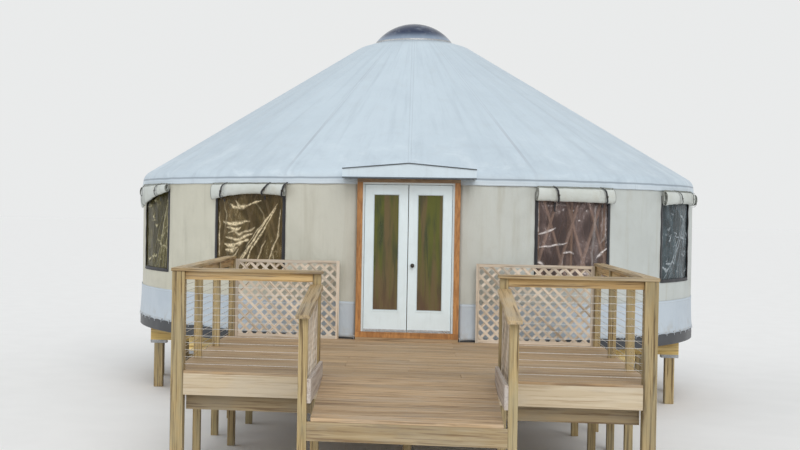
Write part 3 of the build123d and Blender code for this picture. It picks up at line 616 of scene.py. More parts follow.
# Door glass, its colours painted reflections.
GLASS = glazing("door_pane", (0.145, 0.155, 0.035), (0.190, 0.140, 0.065), (0.050, 0.070, 0.040), 0.25)
WHITE = paint("white_enamel", (0.76, 0.86, 0.90), (0.62, 0.69, 0.71), 0.34)
AWNING_WHITE = paint("awning_white", (0.64, 0.745, 0.82), (0.50, 0.57, 0.62), 0.5)
RIM_DARK = paint("dark_band", (0.030, 0.033, 0.040), (0.060, 0.062, 0.060), 0.55, 0.2, 0.4)
ACRYLIC = acrylic("tinted_dome", (0.014, 0.028, 0.070), (0.30, 0.37, 0.47))
CURB = metal("curb_aluminium", (0.60, 0.62, 0.64), (0.42, 0.43, 0.44))
BRONZE = metal("dark_bronze", (0.10, 0.085, 0.07), (0.045, 0.04, 0.036), 0.35, 4.0)
ZINC = metal("galvanised", (0.52, 0.54, 0.55), (0.34, 0.35, 0.36), 0.45)
STEEL = metal("stainless", (0.78, 0.76, 0.72), (0.58, 0.56, 0.53), 0.3)
POST_WOOD = timber("treated_posts", (0.585, 0.445, 0.23), (0.40, 0.285, 0.12), (0.11, 0.065, 0.025),
                   (0.37, 0.33, 0.21), 0.50)
RAIL_WOOD = timber("treated_rails", (0.68, 0.47, 0.21), (0.54, 0.34, 0.13), (0.18, 0.09, 0.03),
                   (0.45, 0.37, 0.25), 0.35)
CAP_WOOD = timber("cap_rail_wood", (0.64, 0.48, 0.27), (0.50, 0.35, 0.17), (0.17, 0.10, 0.045),
                  (0.46, 0.40, 0.30), 0.50)
FASCIA_WOOD = timber("fascia_boards", (0.74, 0.625, 0.455), (0.67, 0.55, 0.38), (0.52, 0.40, 0.26),
                     (0.64, 0.57, 0.46), 0.45)
# Pale lavender tones: painted highlight of the sky on the faces of the ramp's side boards.
SIDE_WOOD = timber("ramp_side_wood", (0.70, 0.62, 0.55), (0.62, 0.53, 0.47), (0.42, 0.33, 0.28),
                   (0.66, 0.62, 0.60), 0.5)
DECK_WOOD = timber("deck_wood", (0.58, 0.40, 0.225), (0.46, 0.305, 0.16), (0.22, 0.135, 0.07),
                   (0.46, 0.375, 0.28), 0.45)
RAMP_WOOD = timber("ramp_wood", (0.59, 0.415, 0.245), (0.48, 0.325, 0.18), (0.24, 0.15, 0.08),
                   (0.48, 0.40, 0.31), 0.40)
SCREEN_WOOD = timber("screen_wood", (0.82, 0.70, 0.57), (0.70, 0.58, 0.45), (0.33, 0.25, 0.17),
                     (0.66, 0.62, 0.55), 0.6)
# Paler than the girders' own timber: painted light that lifts them out of the platform's shadow.
GIRDER_WOOD = timber("girder_wood", (0.98, 0.75, 0.33), (0.88, 0.63, 0.22), (0.44, 0.26, 0.07),
                     (0.66, 0.54, 0.30), 0.25)
BEAM_WOOD = timber("beam_wood", (0.50, 0.38, 0.22), (0.40, 0.29, 0.15), (0.22, 0.14, 0.07),
                   (0.38, 0.34, 0.26), 0.4)
CEDAR = plain_timber("cedar", (0.52, 0.245, 0.075), (0.30, 0.125, 0.035), 0.5)
# Darker cedar for the header's strip of painted shade.
CEDAR_DARK = plain_timber("cedar_header", (0.43, 0.29, 0.17), (0.27, 0.17, 0.10), 0.6, (4.0, 24.0, 24.0))
FRAMING = plain_timber("framing_timber", (0.60, 0.45, 0.27), (0.40, 0.28, 0.15), along=(9.0, 9.0, 4.0))
JOIST = plain_timber("joist_timber", (0.52, 0.40, 0.24), (0.34, 0.24, 0.13), along=(24.0, 3.0, 24.0))
LATTICE = plain_timber("lattice_slats", (0.70, 0.58, 0.45), (0.50, 0.40, 0.29), along=(6.0, 6.0, 6.0))
INSIDE_FLOOR = floorboards("inside_floor", (0.46, 0.31, 0.18), (0.30, 0.19, 0.10))
# Dark strips of painted shadow along the awning's edges.
AWNING_SHADOW_DARK = timber("awning_shadow_paint", (0.10, 0.125, 0.15), (0.07, 0.09, 0.11), (0.04, 0.05, 0.06),
                   (0.16, 0.18, 0.20), 0.4)
BEAD_WHITE = paint("bead_white", (0.62, 0.70, 0.73), (0.46, 0.50, 0.50), 0.4)

# Finishes of the nodes that are shown as they were built
DRESSED = {
    "platform_floor": INSIDE_FLOOR, "platform_rim": RIM_DARK, "platform_saddles": ZINC,
    "platform_joists": JOIST, "deck_joists": JOIST,
    "lattice_wall_left": LATTICE, "lattice_wall_right": LATTICE,
    "wall_studs": FRAMING, "rafters": FRAMING, "centre_ring": FRAMING,
    "dome_curb": CURB, "skylight_dome": ACRYLIC,
    "door_frame": CEDAR, "door_jamb": WHITE, "door_leaf_left": WHITE, "door_leaf_right": WHITE,
    "door_glass_left": GLASS, "door_glass_right": GLASS,
    "door_hinges_left": BRONZE, "door_hinges_right": BRONZE, "door_knob": BRONZE,
    "door_awning": AWNING_WHITE,
    "rail_wires_left": STEEL, "rail_wires_right": STEEL,
}
for node_name, material in DRESSED.items():
    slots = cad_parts[node_name].data.materials
    slots.clear()
    slots.append(material)


# Roof cover
def roof_profile():
    """Radius and height of the cover's outside, from the curb down to its hem."""
    turn = pi / 2 - ROOF_SLOPE
    reach = SHOULDER * tan(turn / 2)
    corner_height = HEM_HEIGHT + reach + HEM_UPRIGHT
    break_height = corner_height + (HEM_RADIUS - RING_BREAK) * tan(ROOF_SLOPE)
    curb_height = break_height + (RING_BREAK - CURB_OUTER) * tan(FLAT_SLOPE)
    bend = 0.03
    first, last = RING_BREAK + bend, HEM_RADIUS - reach * cos(ROOF_SLOPE)
    points = [(CURB_OUTER + 0.004, curb_height),
              (RING_BREAK - bend, break_height + bend * tan(FLAT_SLOPE)),
              (first, break_height - bend * tan(ROOF_SLOPE))]
    slope_steps = 35
    for k in range(1, slope_steps):
        radius = first + (last - first) * k / slope_steps
        points.append((radius, corner_height + (HEM_RADIUS - radius) * tan(ROOF_SLOPE)))
    centre_height = corner_height - reach
    for k in range(9):
        angle = turn - turn * k / 8
        points.append((HEM_RADIUS - SHOULDER + SHOULDER * cos(angle), centre_height + SHOULDER * sin(angle)))
    points += [(HEM_RADIUS, height) for height in spread(centre_height - 0.006, HEM_HEIGHT, 0.008)]
    return points


def roof_place(azimuth, row):
    """A point of the cover: it sags between the rafters, creases, and waves along its hem."""
    radius, height = row
    rise = height - HEM_HEIGHT
    phase = ((abs(signed(azimuth)) - FIRST_RAFTER) / RAFTER_PITCH) % 1.0
    span = bound((radius - 1.0) / 2.4)
    on_slope = bound((rise - 0.10) / 0.2)
    low = 1.0 - on_slope
    sag = 0.011 * span * on_slope * sin(pi * phase) ** 2
    x, y = heading(azimuth)
    crease = 0.0035 * span * ripple(x * 26, y * 26, height * 0.8)
    crease += 0.004 * max(0.0, 1 - rise / 0.9) * ripple(x * 34, y * 34, height * 2.5)
    hem_wave = low * (0.005 * ripple(x * 16, y * 16, 3.0) + 0.0025 * ripple(x * 60, y * 60, height * 4))
    groove = -0.006 * exp(-((rise - 0.085) / 0.012) ** 2)
    lip = 0.004 * exp(-((rise - 0.012) / 0.010) ** 2)
    radius += hem_wave + groove + lip + crease * low
    height += crease * on_slope - sag + low * 0.004 * ripple(x * 22, y * 22, 9.0)
    return polar(azimuth, radius, height)


def roof_cover():
    """The roof's cloth; its height over the hem and its distance from a gore seam serve its finish."""
    profile = roof_profile()
    count = 600
    columns = [360 * k / count for k in range(count)]
    skin = Skin(columns, profile, roof_place, closed=True)
    down, seam = [], []
    for azimuth in columns:
        off = abs((azimuth / GORE_PITCH + 0.5) % 1.0 - 0.5) * GORE_PITCH
        down += [height - HEM_HEIGHT for _, height in profile]
        seam += [radians(off) * radius for radius, _ in profile]
    obj = skin.make("roof_cover_cloth", roof_material(), 0.004, {"down": down, "seam": seam},
                    "roof_fabric", ["roof_cover"])


def roof_material():
    """The roof cloth with its welded gore seams and a dark line of painted shade along the crease above the
    hem.
    """
    s = Shader("roof_cover_finish", Sheen_Weight=0.05)
    cloud, small, fine = s.clouds(0.55, 3.5, 45.0, 0.8)
    azimuth = s.math("ARCTAN2", s.part(s.place, "X"), s.part(s.place, "Y"))

    def rays(turns, rise, scale, distortion):
        """Noise drawn out down the slope."""
        wheel = {0: s.times(azimuth, turns), 1: s.times(s.part(s.place, "Z"), rise)}
        return s.noise(s.node("ShaderNodeCombineXYZ", wheel), scale, 5.0, 0.62, distortion)

    long, puckers = rays(9.0, 0.45, 2.2, 0.2), rays(7.0, 3.0, 1.6, 0.5)
    colour = s.mix(s.remap(cloud, 0.35, 0.68, 0.0, 0.7), (0.555, 0.645, 0.715), (0.50, 0.585, 0.655))
    colour = s.layer(colour, long, 0.46, 0.72, 0.5, (0.44, 0.515, 0.58))
    colour = s.layer(colour, small, 0.50, 0.75, 0.25, (0.50, 0.55, 0.585))
    colour = s.layer(colour, fine, 0.60, 0.78, 0.12, (0.40, 0.42, 0.42))
    down = s.attribute("down")
    low = s.remap(down, 0.12, 1.1, 1.0, 0.0)
    # Painted highlights and painted shade on the puckers near the hem.
    colour = s.mix(s.times(s.remap(puckers, 0.50, 0.72), s.times(low, 0.5)), colour, (0.70, 0.78, 0.84))
    colour = s.mix(s.times(s.remap(puckers, 0.50, 0.28), s.times(low, 0.4)), colour, (0.40, 0.47, 0.54))
    colour = s.mix(s.remap(down, 0.055, 0.075, 0.55, 0.0), colour, (0.60, 0.665, 0.72))
    # Painted shade: a dark line along the crease above the hem.
    crease_shade = s.times(s.remap(down, 0.070, 0.078), s.remap(down, 0.092, 0.104, 1.0, 0.0))
    colour = s.mix(s.times(crease_shade, 0.75), colour, (0.22, 0.26, 0.31))
    seam = s.attribute("seam")
    colour = s.mix(s.line(seam, 0.02, 0.006, 0.5), colour, (0.36, 0.40, 0.45))
    weld = s.remap(seam, 0.018, 0.022, 1.0, 0.0)
    relief = s.bump(s.plus(weld, s.times(fine, 0.25)), 0.4, 0.002)
    soft = s.bump(s.plus(long, s.times(small, 0.5)), 0.45, 0.02, relief)
    return s.finish(colour, s.remap(small, 0.3, 0.7, 0.46, 0.66), soft)


# Wall cover and lower band
def wall_material():
    """Wall cloth with painted light, warmer on the left and cooler on the right, and a stitched hem round
    each window.
    """
    s = Shader("wall_cover_finish", Sheen_Weight=0.08)
    cloud, small, fine = s.clouds(0.8, 5.0, 70.0, 0.6)
    runs = s.noise(s.scaled(s.place, (5.0, 5.0, 0.5)), 1.3, 5.0, 0.6, 0.3)
    # Painted light: warmer on the left, cooler on the right.
    side = s.remap(s.part(s.place, "X"), -4.2, 3.2)
    base = s.mix(side, (0.590, 0.570, 0.470), (0.550, 0.580, 0.560))
    shade = s.mix(side, (0.505, 0.490, 0.395), (0.475, 0.500, 0.480))
    colour = s.mix(s.remap(cloud, 0.36, 0.66, 0.0, 0.7), base, shade)
    colour = s.layer(colour, runs, 0.48, 0.74, 0.42, (0.40, 0.385, 0.31))
    colour = s.layer(colour, small, 0.52, 0.76, 0.2, (0.42, 0.41, 0.36))
    colour = s.layer(colour, fine, 0.60, 0.78, 0.12, (0.35, 0.34, 0.30))
    hem = s.attribute("hem")
    colour = s.mix(s.line(hem, 0.045, 0.004, 0.45), colour, (0.40, 0.38, 0.32))
    relief = s.bump(s.plus(fine, s.remap(hem, 0.040, 0.050, 1.2, 0.0)), 0.3, 0.0015)
    soft = s.bump(s.noise(s.scaled(s.place, (2.4, 2.4, 0.7)), 1.6, 4.0, 0.5, 0.9), 0.5, 0.03, relief)
    return s.finish(colour, s.remap(small, 0.3, 0.7, 0.56, 0.76), soft)


def pull(azimuth, height):
    """How far the folds that run out from the windows' upper corners stand out."""
    total = 0.0
    drop = WINDOW_HEAD - height
    for middle in WINDOWS:
        for side in (-1, 1):
            away = radians(side * (azimuth - middle) - WINDOW_HALF) * WALL_RADIUS
            if 0 < away < 0.7 and drop > -0.1:
                along = 0.8 * away + 0.6 * drop
                across = 0.8 * drop - 0.6 * away
                total += 0.006 * exp(-((away - 0.15) / 0.28) ** 2) * sin(across * 26) * exp(-along * 1.5)
    return total


def wall_place(azimuth, height):
    """A point of the wall cover, which waves between its hems."""
    x, y = heading(azimuth)
    high = (height - FLOOR) / WALL_HEIGHT
    fold = 0.010 * ripple(x * 9, y * 9, height * 0.35)
    fold += 0.006 * ripple(x * 24, y * 24, height * 0.5 + 5)
    fold += 0.0015 * ripple(x * 70, y * 70, height * 3.0)
    fold = fold * (0.4 + 0.6 * sin(pi * bound(high))) + pull(azimuth, height)
    cloth, deepest = 0.003, -0.005
    return polar(azimuth, WALL_RADIUS + cloth + max(deepest, fold), height)


def wall_cover():
    """The wall's cloth from jamb to jamb, with the window openings left out."""
    stops = [DOOR_EDGE]
    for middle in sorted(a % 360 for a in WINDOWS):
        stops += [middle - WINDOW_HALF, middle + WINDOW_HALF]
    stops.append(360 - DOOR_EDGE)
    columns, in_window = [], []
    for k, (a, b) in enumerate(zip(stops, stops[1:])):
        part = spread(a, b, 0.55)
        columns += part[:-1]
        in_window += [k % 2 == 1] * (len(part) - 1)
    columns.append(stops[-1])
    rows = spread(FLOOR - 0.01, WINDOW_SILL, 0.055)[:-1] + spread(WINDOW_SILL, WINDOW_HEAD, 0.055)[:-1]
    rows += spread(WINDOW_HEAD, WALL_TOP + 0.03, 0.05)

    def hole(i, k):
        return in_window[i] and WINDOW_SILL - 0.001 <= rows[k] < WINDOW_HEAD - 0.001

    skin = Skin(columns, rows, wall_place, hole)
    hem = []
    for azimuth in columns:
        beside = min(abs(abs(signed(azimuth) - middle) - WINDOW_HALF) for middle in WINDOWS)
        beside = radians(beside) * WALL_RADIUS
        hem += [beside if WINDOW_SILL < height < WINDOW_HEAD else 1.0 for height in rows]
    obj = skin.make("wall_cover_cloth", wall_material(), 0.003, {"hem": hem},
                    "wall_fabric", ["wall_cover_piers", "wall_cover_at_windows"])


def lower_band():
    """Laced band over the foot of the wall: its lower hem is drawn down between the lacing points."""
    lace_pitch = 0.29
    inset = 0.15
    length = radians(360 - 2 * DOOR_EDGE - 2 * inset) * WALL_RADIUS
    laces = round(length / lace_pitch)
    start, end = DOOR_EDGE + inset, 360 - DOOR_EDGE - inset
    columns = spread(start, end, 0.45)
    rows = spread(0.0, 1.0, 1 / 14)

    def place(azimuth, row):
        x, y = heading(azimuth)
        scallop = abs(sin(pi * (azimuth - start) / (end - start) * laces))
        foot = FLOOR - 0.030 + 0.012 * scallop
        head = BAND_TOP + 0.002 * ripple(x * 14, y * 14, 1.0)
        height = foot + (head - foot) * row
        fold = 0.006 * ripple(x * 14, y * 14, 2.0) + 0.004 * ripple(x * 40, y * 40, height)
        low = (1 - row) ** 2
        radius = WALL_RADIUS + 0.013 + 0.016 * low + fold * (0.35 + 0.9 * (1 - row)) + 0.006 * low * scallop
        return polar(azimuth, radius, height)

    skin = Skin(columns, rows, place)
    hem = [min(row, 1 - row) * 0.5 for _ in columns for row in rows]
    obj = skin.make("lower_band_cloth", band_material(), 0.003, {"hem": hem},
                    "band_fabric", ["wall_lower_band"])
    stations = [start + (end - start) * k / laces for k in range(laces + 1)]
    rings = [place(azimuth, 0.06) + polar(azimuth, 0.003, 0) for azimuth in stations]
    eyelets(rings)
    lacing(rings, [polar(azimuth, RIM_RADIUS, FLOOR - 0.055) for azimuth in stations])


def band_material():
    """Cloth of the lower band: bluer than the wall, with splashes along its foot."""
    s = Shader("lower_band_finish", Sheen_Weight=0.06)
    cloud, small, fine = s.clouds(0.9, 6.0, 70.0, 0.5)
    low = s.remap(s.part(s.place, "Z"), FLOOR, FLOOR + 0.22, 0.5, 0.0)
    colour = s.mix(s.remap(cloud, 0.36, 0.66, 0.0, 0.6), (0.525, 0.590, 0.655), (0.450, 0.515, 0.580))
    colour = s.mix(s.times(s.remap(small, 0.45, 0.70), low), colour, (0.42, 0.40, 0.35))
    colour = s.layer(colour, fine, 0.58, 0.78, 0.16, (0.44, 0.45, 0.45))
    hem = s.attribute("hem")
    colour = s.mix(s.line(hem, 0.035, 0.005, 0.4), colour, (0.38, 0.39, 0.40))
    relief = s.bump(s.plus(fine, s.remap(hem, 0.03, 0.04, 1.0, 0.0)), 0.3, 0.0015)
    soft = s.bump(s.noise(s.scaled(s.place, (3.0, 3.0, 1.4)), 1.8, 4.0, 0.5, 0.9), 0.45, 0.025, relief)
    return s.finish(colour, s.remap(small, 0.3, 0.7, 0.5, 0.7), soft)


def rope(name, lines, radius, material, slot):
    """Smooth round cords through lists of points, in one curve object."""
    curve = bpy.data.curves.new(name, "CURVE")
    curve.dimensions = "3D"
    curve.bevel_depth = radius
    curve.bevel_resolution = 2
    curve.resolution_u = 4
    curve.use_fill_caps = True
    for line in lines:
        spline = curve.splines.new("NURBS")
        spline.points.add(len(line) - 1)
        for point, place in zip(spline.points, line):
            point.co = (*place, 1.0)
        spline.order_u = 3
        spline.use_endpoint_u = True
    curve.materials.append(material)
    declare(link(bpy.data.objects.new(name, curve)), slot)


def eyelets(places):
    """Round eyelets in the band's lower hem."""
    rings = bmesh.new()
    for place in places:
        bmesh.ops.create_circle(rings, radius=0.011, segments=10, cap_ends=True,
                                matrix=facing(place + outward(place) * 0.002))
    obj = bmesh_object("band_eyelets", rings, STEEL)
    thicken(obj, 0.003)
    declare(obj, "hinge_metal")


def lacing(rings, hooks):
    """A short cord from each of the band's eyelets down to a hook on the platform's rim."""
    lines = []
    for ring, hook in zip(rings, hooks):
        out = outward(ring)
        lines.append([ring + out * 0.003, (ring + hook) / 2 + out * 0.012, hook + out * 0.004])
    rope("band_lacing", lines, 0.003, BAND_CORD, "band_fabric")


# Windows
# Folds of the two front sheets, each a raised ridge with a painted highlight along it: points across (0 left,
# 1 right) and up (0 sill, 1 head), width, strength of the painted highlight
FOLDS_LEFT = [
    (((0.91, 0.85), (0.64, 0.49), (0.42, 0.21), (0.30, 0.0)), 0.017, 1.0),
    (((0.89, 0.80), (0.70, 0.50), (0.54, 0.30), (0.44, 0.05)), 0.015, 0.95),
    (((0.86, 0.76), (0.60, 0.50), (0.47, 0.33)), 0.012, 0.7),
    (((0.95, 0.78), (0.92, 0.47), (0.81, 0.22), (0.74, 0.0)), 0.014, 0.8),
    (((0.75, 0.42), (0.66, 0.24), (0.62, 0.06)), 0.013, 0.75),
    (((0.84, 0.34), (0.88, 0.15), (0.93, 0.0)), 0.012, 0.6),
    (((0.05, 0.76), (0.04, 0.45), (0.05, 0.18)), 0.012, 0.85),
    (((0.36, 0.31), (0.27, 0.22), (0.20, 0.10)), 0.018, 0.7),
    (((0.52, 0.36), (0.40, 0.22), (0.34, 0.06)), 0.015, 0.7),
    (((0.22, 0.84), (0.27, 0.80), (0.36, 0.80), (0.50, 0.83), (0.68, 0.88)), 0.022, 1.0),
    (((0.30, 0.88), (0.34, 0.82), (0.42, 0.79)), 0.026, 0.8),
    (((0.12, 0.63), (0.24, 0.60), (0.34, 0.61), (0.52, 0.64)), 0.024, 1.0),
    (((0.18, 0.56), (0.30, 0.54), (0.38, 0.56)), 0.026, 0.95),
    (((0.20, 0.50), (0.28, 0.52), (0.36, 0.49), (0.50, 0.52), (0.60, 0.57)), 0.020, 0.7),
    (((0.16, 0.45), (0.30, 0.42), (0.44, 0.45), (0.56, 0.50)), 0.024, 0.85),
    (((0.14, 0.36), (0.24, 0.34), (0.36, 0.38), (0.50, 0.42)), 0.030, 1.0),
    (((0.15, 0.30), (0.26, 0.29), (0.34, 0.33)), 0.026, 0.9),
    (((0.16, 0.20), (0.24, 0.17), (0.30, 0.18)), 0.022, 0.8),
    (((0.10, 0.90), (0.16, 0.70), (0.14, 0.48)), 0.010, 0.5),
    (((0.60, 0.86), (0.72, 0.72), (0.74, 0.60)), 0.010, 0.45),
]
FOLDS_RIGHT = [
    (((0.02, 0.55), (0.12, 0.57), (0.25, 0.62)), 0.018, 0.9),
    (((0.04, 0.41), (0.20, 0.42), (0.40, 0.46)), 0.016, 0.95),
    (((0.02, 0.90), (0.03, 0.72), (0.02, 0.58)), 0.012, 0.7),
    (((0.01, 0.25), (0.08, 0.22), (0.12, 0.16)), 0.026, 0.9),
    (((0.36, 0.34), (0.44, 0.35), (0.50, 0.33)), 0.018, 0.8),
    (((0.36, 0.31), (0.34, 0.20), (0.40, 0.10)), 0.014, 0.5),
    (((0.82, 0.28), (0.90, 0.34), (0.98, 0.40)), 0.020, 0.9),
    (((0.88, 0.44), (0.94, 0.52), (0.98, 0.62)), 0.012, 0.55),
    (((0.97, 0.88), (0.96, 0.66), (0.97, 0.46)), 0.010, 0.6),
    (((0.90, 0.90), (0.91, 0.70), (0.89, 0.50)), 0.012, 0.45),
    (((0.80, 0.88), (0.79, 0.60), (0.76, 0.30), (0.77, 0.05)), 0.030, 0.40),
    (((0.56, 0.12), (0.70, 0.10), (0.80, 0.13)), 0.020, 0.8),
    (((0.16, 0.86), (0.28, 0.89), (0.40, 0.87)), 0.010, 0.55),
    (((0.34, 0.83), (0.345, 0.82)), 0.024, 1.0),
    (((0.475, 0.83), (0.48, 0.82)), 0.022, 0.9),
    (((0.66, 0.83), (0.665, 0.82)), 0.024, 1.0),
    (((0.54, 0.88), (0.545, 0.87)), 0.020, 0.85),
    (((0.57, 0.72), (0.575, 0.70)), 0.018, 0.8),
    (((0.15, 0.87), (0.155, 0.86)), 0.020, 0.7),
]


def loose_folds(number):
    """Folds of a sheet that the photo doesn't show plainly, as ridges with painted highlights: a fan from an
    upper corner, and dashes.
    """
    pick = random.Random(100 + number)
    corner = abs(pick.choice((0, 1)) - 0.06)
    folds = []
    for _ in range(9):
        foot = pick.uniform(0.05, 0.95)
        bend = (corner + foot) / 2 + pick.uniform(-0.06, 0.06)
        line = ((corner, pick.uniform(0.75, 0.92)), (bend, pick.uniform(0.4, 0.6)), (foot, 0.0))
        folds.append((line, pick.uniform(0.007, 0.013), pick.uniform(0.25, 0.75)))
    for _ in range(26):
        u, v = pick.uniform(0.04, 0.9), pick.uniform(0.06, 0.9)
        long = pick.uniform(0.02, 0.16)
        line = ((u, v), (u + long / 2, v - 0.01), (u + long, v + pick.uniform(-0.05, 0.05)))
        folds.append((line, pick.uniform(0.009, 0.018), pick.uniform(0.4, 0.95)))
    return folds


def fold_light(x, y, folds):
    """Strength of the painted highlight along the folds at a place on the sheet, in metres from its lower
    left corner; it also sets the height of their ridges.
    """
    best = 0.0
    waver = 0.016
    x, y = x + waver * ripple(x * 8, y * 8, 1.0), y + waver * ripple(x * 8, y * 8, 7.0)
    swell = 1.0 + 0.8 * ripple(x * 14, y * 14, 3.0)
    for line, width, strength in folds:
        width *= swell
        for number, ((a, b), (c, d)) in enumerate(zip(line, line[1:])):
            ax, ay = a * WINDOW_WIDTH, b * SHEET_HEIGHT
            dx, dy = (c - a) * WINDOW_WIDTH, (d - b) * SHEET_HEIGHT
            share = bound(((x - ax) * dx + (y - ay) * dy) / (dx * dx + dy * dy))
            away = hypot(x - ax - share * dx, y - ay - share * dy)
            if away < 2.5 * width:
                taper = 0.4 + 0.6 * sin(pi * (number + share) / (len(line) - 1))
                best = max(best, strength * exp(-(away / (width * taper)) ** 2))
    return best


def window_pane(number, middle):
    """A clear sheet sewn into its opening, folded where it hangs slack."""
    overlap, set_back = 0.15, 0.008
    half = WINDOW_HALF + overlap
    front = abs(middle) < 45
    side = "left" if middle < 0 else "right"
    columns = spread(middle - half, middle + half, 0.14 if front else 0.2)
    rows = spread(WINDOW_SILL - 0.015, WINDOW_HEAD + 0.015, 0.011 if front else 0.018)
    folds = {"left": FOLDS_LEFT, "right": FOLDS_RIGHT}[side] if front else loose_folds(number)
    light = []

    def place(azimuth, height):
        x, y = (30 * c for c in heading(azimuth))
        inner = min(1.0, 6 * (half - abs(azimuth - middle)), 24 * (WINDOW_HEAD + 0.02 - height),
                    24 * (height - WINDOW_SILL + 0.02))
        across = radians(azimuth - middle) * WALL_RADIUS + WINDOW_WIDTH / 2
        # Strength of the painted highlight here, which also lifts the fold's ridge.
        lit = fold_light(across, height - WINDOW_SILL, folds)
        light.append(lit)
        crease = 0.005 * ripple(x, y, height * 1.4 + number)
        crease += 0.002 * ripple(x * 3, y * 3, height * 4 + number)
        return polar(azimuth, WALL_RADIUS - set_back + inner * (crease + 0.006 * lit), height)

    skin = Skin(columns, rows, place)
    metres_a_degree, apart = 0.0798, 3.1
    flat = [((azimuth - middle) * metres_a_degree + apart * number, height, 0.0)
            for azimuth in columns for height in rows]
    skin.make(f"window_sheet_{number + 1}", VINYL_SHEETS[side if front else "far_" + side], 0.0,
              {"sheet": flat, "glint": light}, "window_vinyl", ["window_panes"] if number == 0 else ())


def webbing(name, straps, thickness, node):
    """Straps of black webbing in one mesh: each is a list of rows of three points across it."""
    vertices, faces = [], []
    for rows in straps:
        for k, row in enumerate(rows):
            vertices += row
            if k:
                base = len(vertices) - 6
                faces += [[base, base + 1, base + 4, base + 3], [base + 1, base + 2, base + 5, base + 4]]
    obj = mesh_object(name, vertices, faces, WEBBING)
    thicken(obj, thickness)
    declare(obj, "black_binding", [node])


def window_borders():
    """Black binding sewn round each window, with slightly wavering edges."""
    width = 0.05
    straps = []

    def edge(stations, side):
        rows = []
        for azimuth, height in stations:
            place = wall_place(azimuth, height) + polar(azimuth, 0.004, 0)
            half = side * width * (1 + 0.12 * ripple(place.x * 5, place.y * 5, place.z * 5)) / 2
            rows.append([place - half, place + outward(place) * 0.0015, place + half])
        straps.append(rows)

    for middle in WINDOWS:
        left, right = middle - WINDOW_HALF, middle + WINDOW_HALF
        for azimuth in (left, right):
            across = Vector((cos(radians(azimuth)), sin(radians(azimuth)), 0))
            edge([(azimuth, h) for h in spread(WINDOW_SILL - 0.02, WINDOW_HEAD + 0.02, 0.05)], across)
        for height in (WINDOW_SILL, WINDOW_HEAD):
            edge([(azimuth, height) for azimuth in spread(left, right, 0.8)], Vector((0, 0, 1)))
    webbing("window_binding", straps, 0.004, "window_borders")


def flap_reach(middle, u):
    """How far below the hem a flap's roll reaches at u, from -1 at its left to 1 at its right."""
    left, centre, right, _ = FLAPS.get(middle, USUAL_FLAP)
    bend = left * (1 - u) / 2 + right * (1 + u) / 2
    return bend + (centre - (left + right) / 2) * (1 - u * u)


def flap_roll(number, middle):
    """A window flap rolled up under the hem: one sheet wound into a flattened roll."""
    turns, per_turn = 2.6, 26
    columns = spread(-1.0, 1.0, 0.045)
    rows = [k / (turns * per_turn) for k in range(int(turns * per_turn) + 1)]
    pinch = FLAPS.get(middle, USUAL_FLAP)[3]

    def place(u, t):
        tall = (flap_reach(middle, u) + 0.015) / 2
        shrink = 1.0 - 0.62 * t
        angle = 2 * pi * turns * t + pi / 2
        squeeze = 1.0 - 0.22 * sum(exp(-((u - strap) / 0.05) ** 2) for strap in (-0.62, 0.62))
        deep = (0.050 + 0.006 * ripple(u * 3, number * 4.0)) * squeeze
        slack = 1.0 + 0.05 * ripple(u * 5, angle * 1.3, number * 7.0)
        slack += 0.03 * ripple(u * 16, angle * 2, number)
        lean = (1 + sin(angle)) / 2
        azimuth = middle + FLAP_HALF * u * (1 - pinch * 0.6 * lean)
        radius = WALL_RADIUS + 0.016 + deep + deep * shrink * slack * cos(angle)
        rise = tall * shrink * slack * sin(angle) * (1.0 if sin(angle) < 0 else 0.96)
        return polar(azimuth, radius, HEM_HEIGHT + 0.015 - tall + rise)

    skin = Skin(columns, rows, place)
    line = [place(0.0, t) for t in rows]
    length = sum((b - a).length for a, b in zip(line, line[1:]))
    hem = [min((1 - abs(u)) * 0.65, t * length) for u in columns for t in rows]
    obj = skin.make(f"window_flap_{number + 1}", FLAP_FINISH, 0.003, {"hem": hem},
                    "wall_fabric", ["window_flap_rolls"] if number == 0 else ())


def flap_material():
    """Cloth of the rolled flaps, with a dark line along their edges: painted shadow under the roof's hem, and
    the same line along the ends of the roll.
    """
    s = Shader("window_flap_finish", Sheen_Weight=0.08)
    cloud, small, fine = s.clouds(1.4, 7.0, 80.0, 0.5)
    colour = s.mix(s.remap(cloud, 0.36, 0.66, 0.0, 0.6), (0.60, 0.63, 0.60), (0.50, 0.52, 0.47))
    colour = s.layer(colour, small, 0.50, 0.72, 0.35, (0.48, 0.46, 0.38))
    hem = s.attribute("hem")
    # Dark edge line: painted shadow where the roll's first edge lies under the roof's hem, and the same line
    # at the roll's ends.
    colour = s.mix(s.remap(hem, 0.008, 0.012, 0.8, 0.0), colour, (0.16, 0.16, 0.14))
    relief = s.bump(fine, 0.3, 0.001)
    soft = s.bump(s.noise(s.scaled(s.place, (5.0, 5.0, 9.0)), 1.6, 4.0, 0.5, 1.2), 0.6, 0.012, relief)
    return s.finish(colour, s.remap(small, 0.3, 0.7, 0.55, 0.75), soft)


FLAP_FINISH = flap_material()


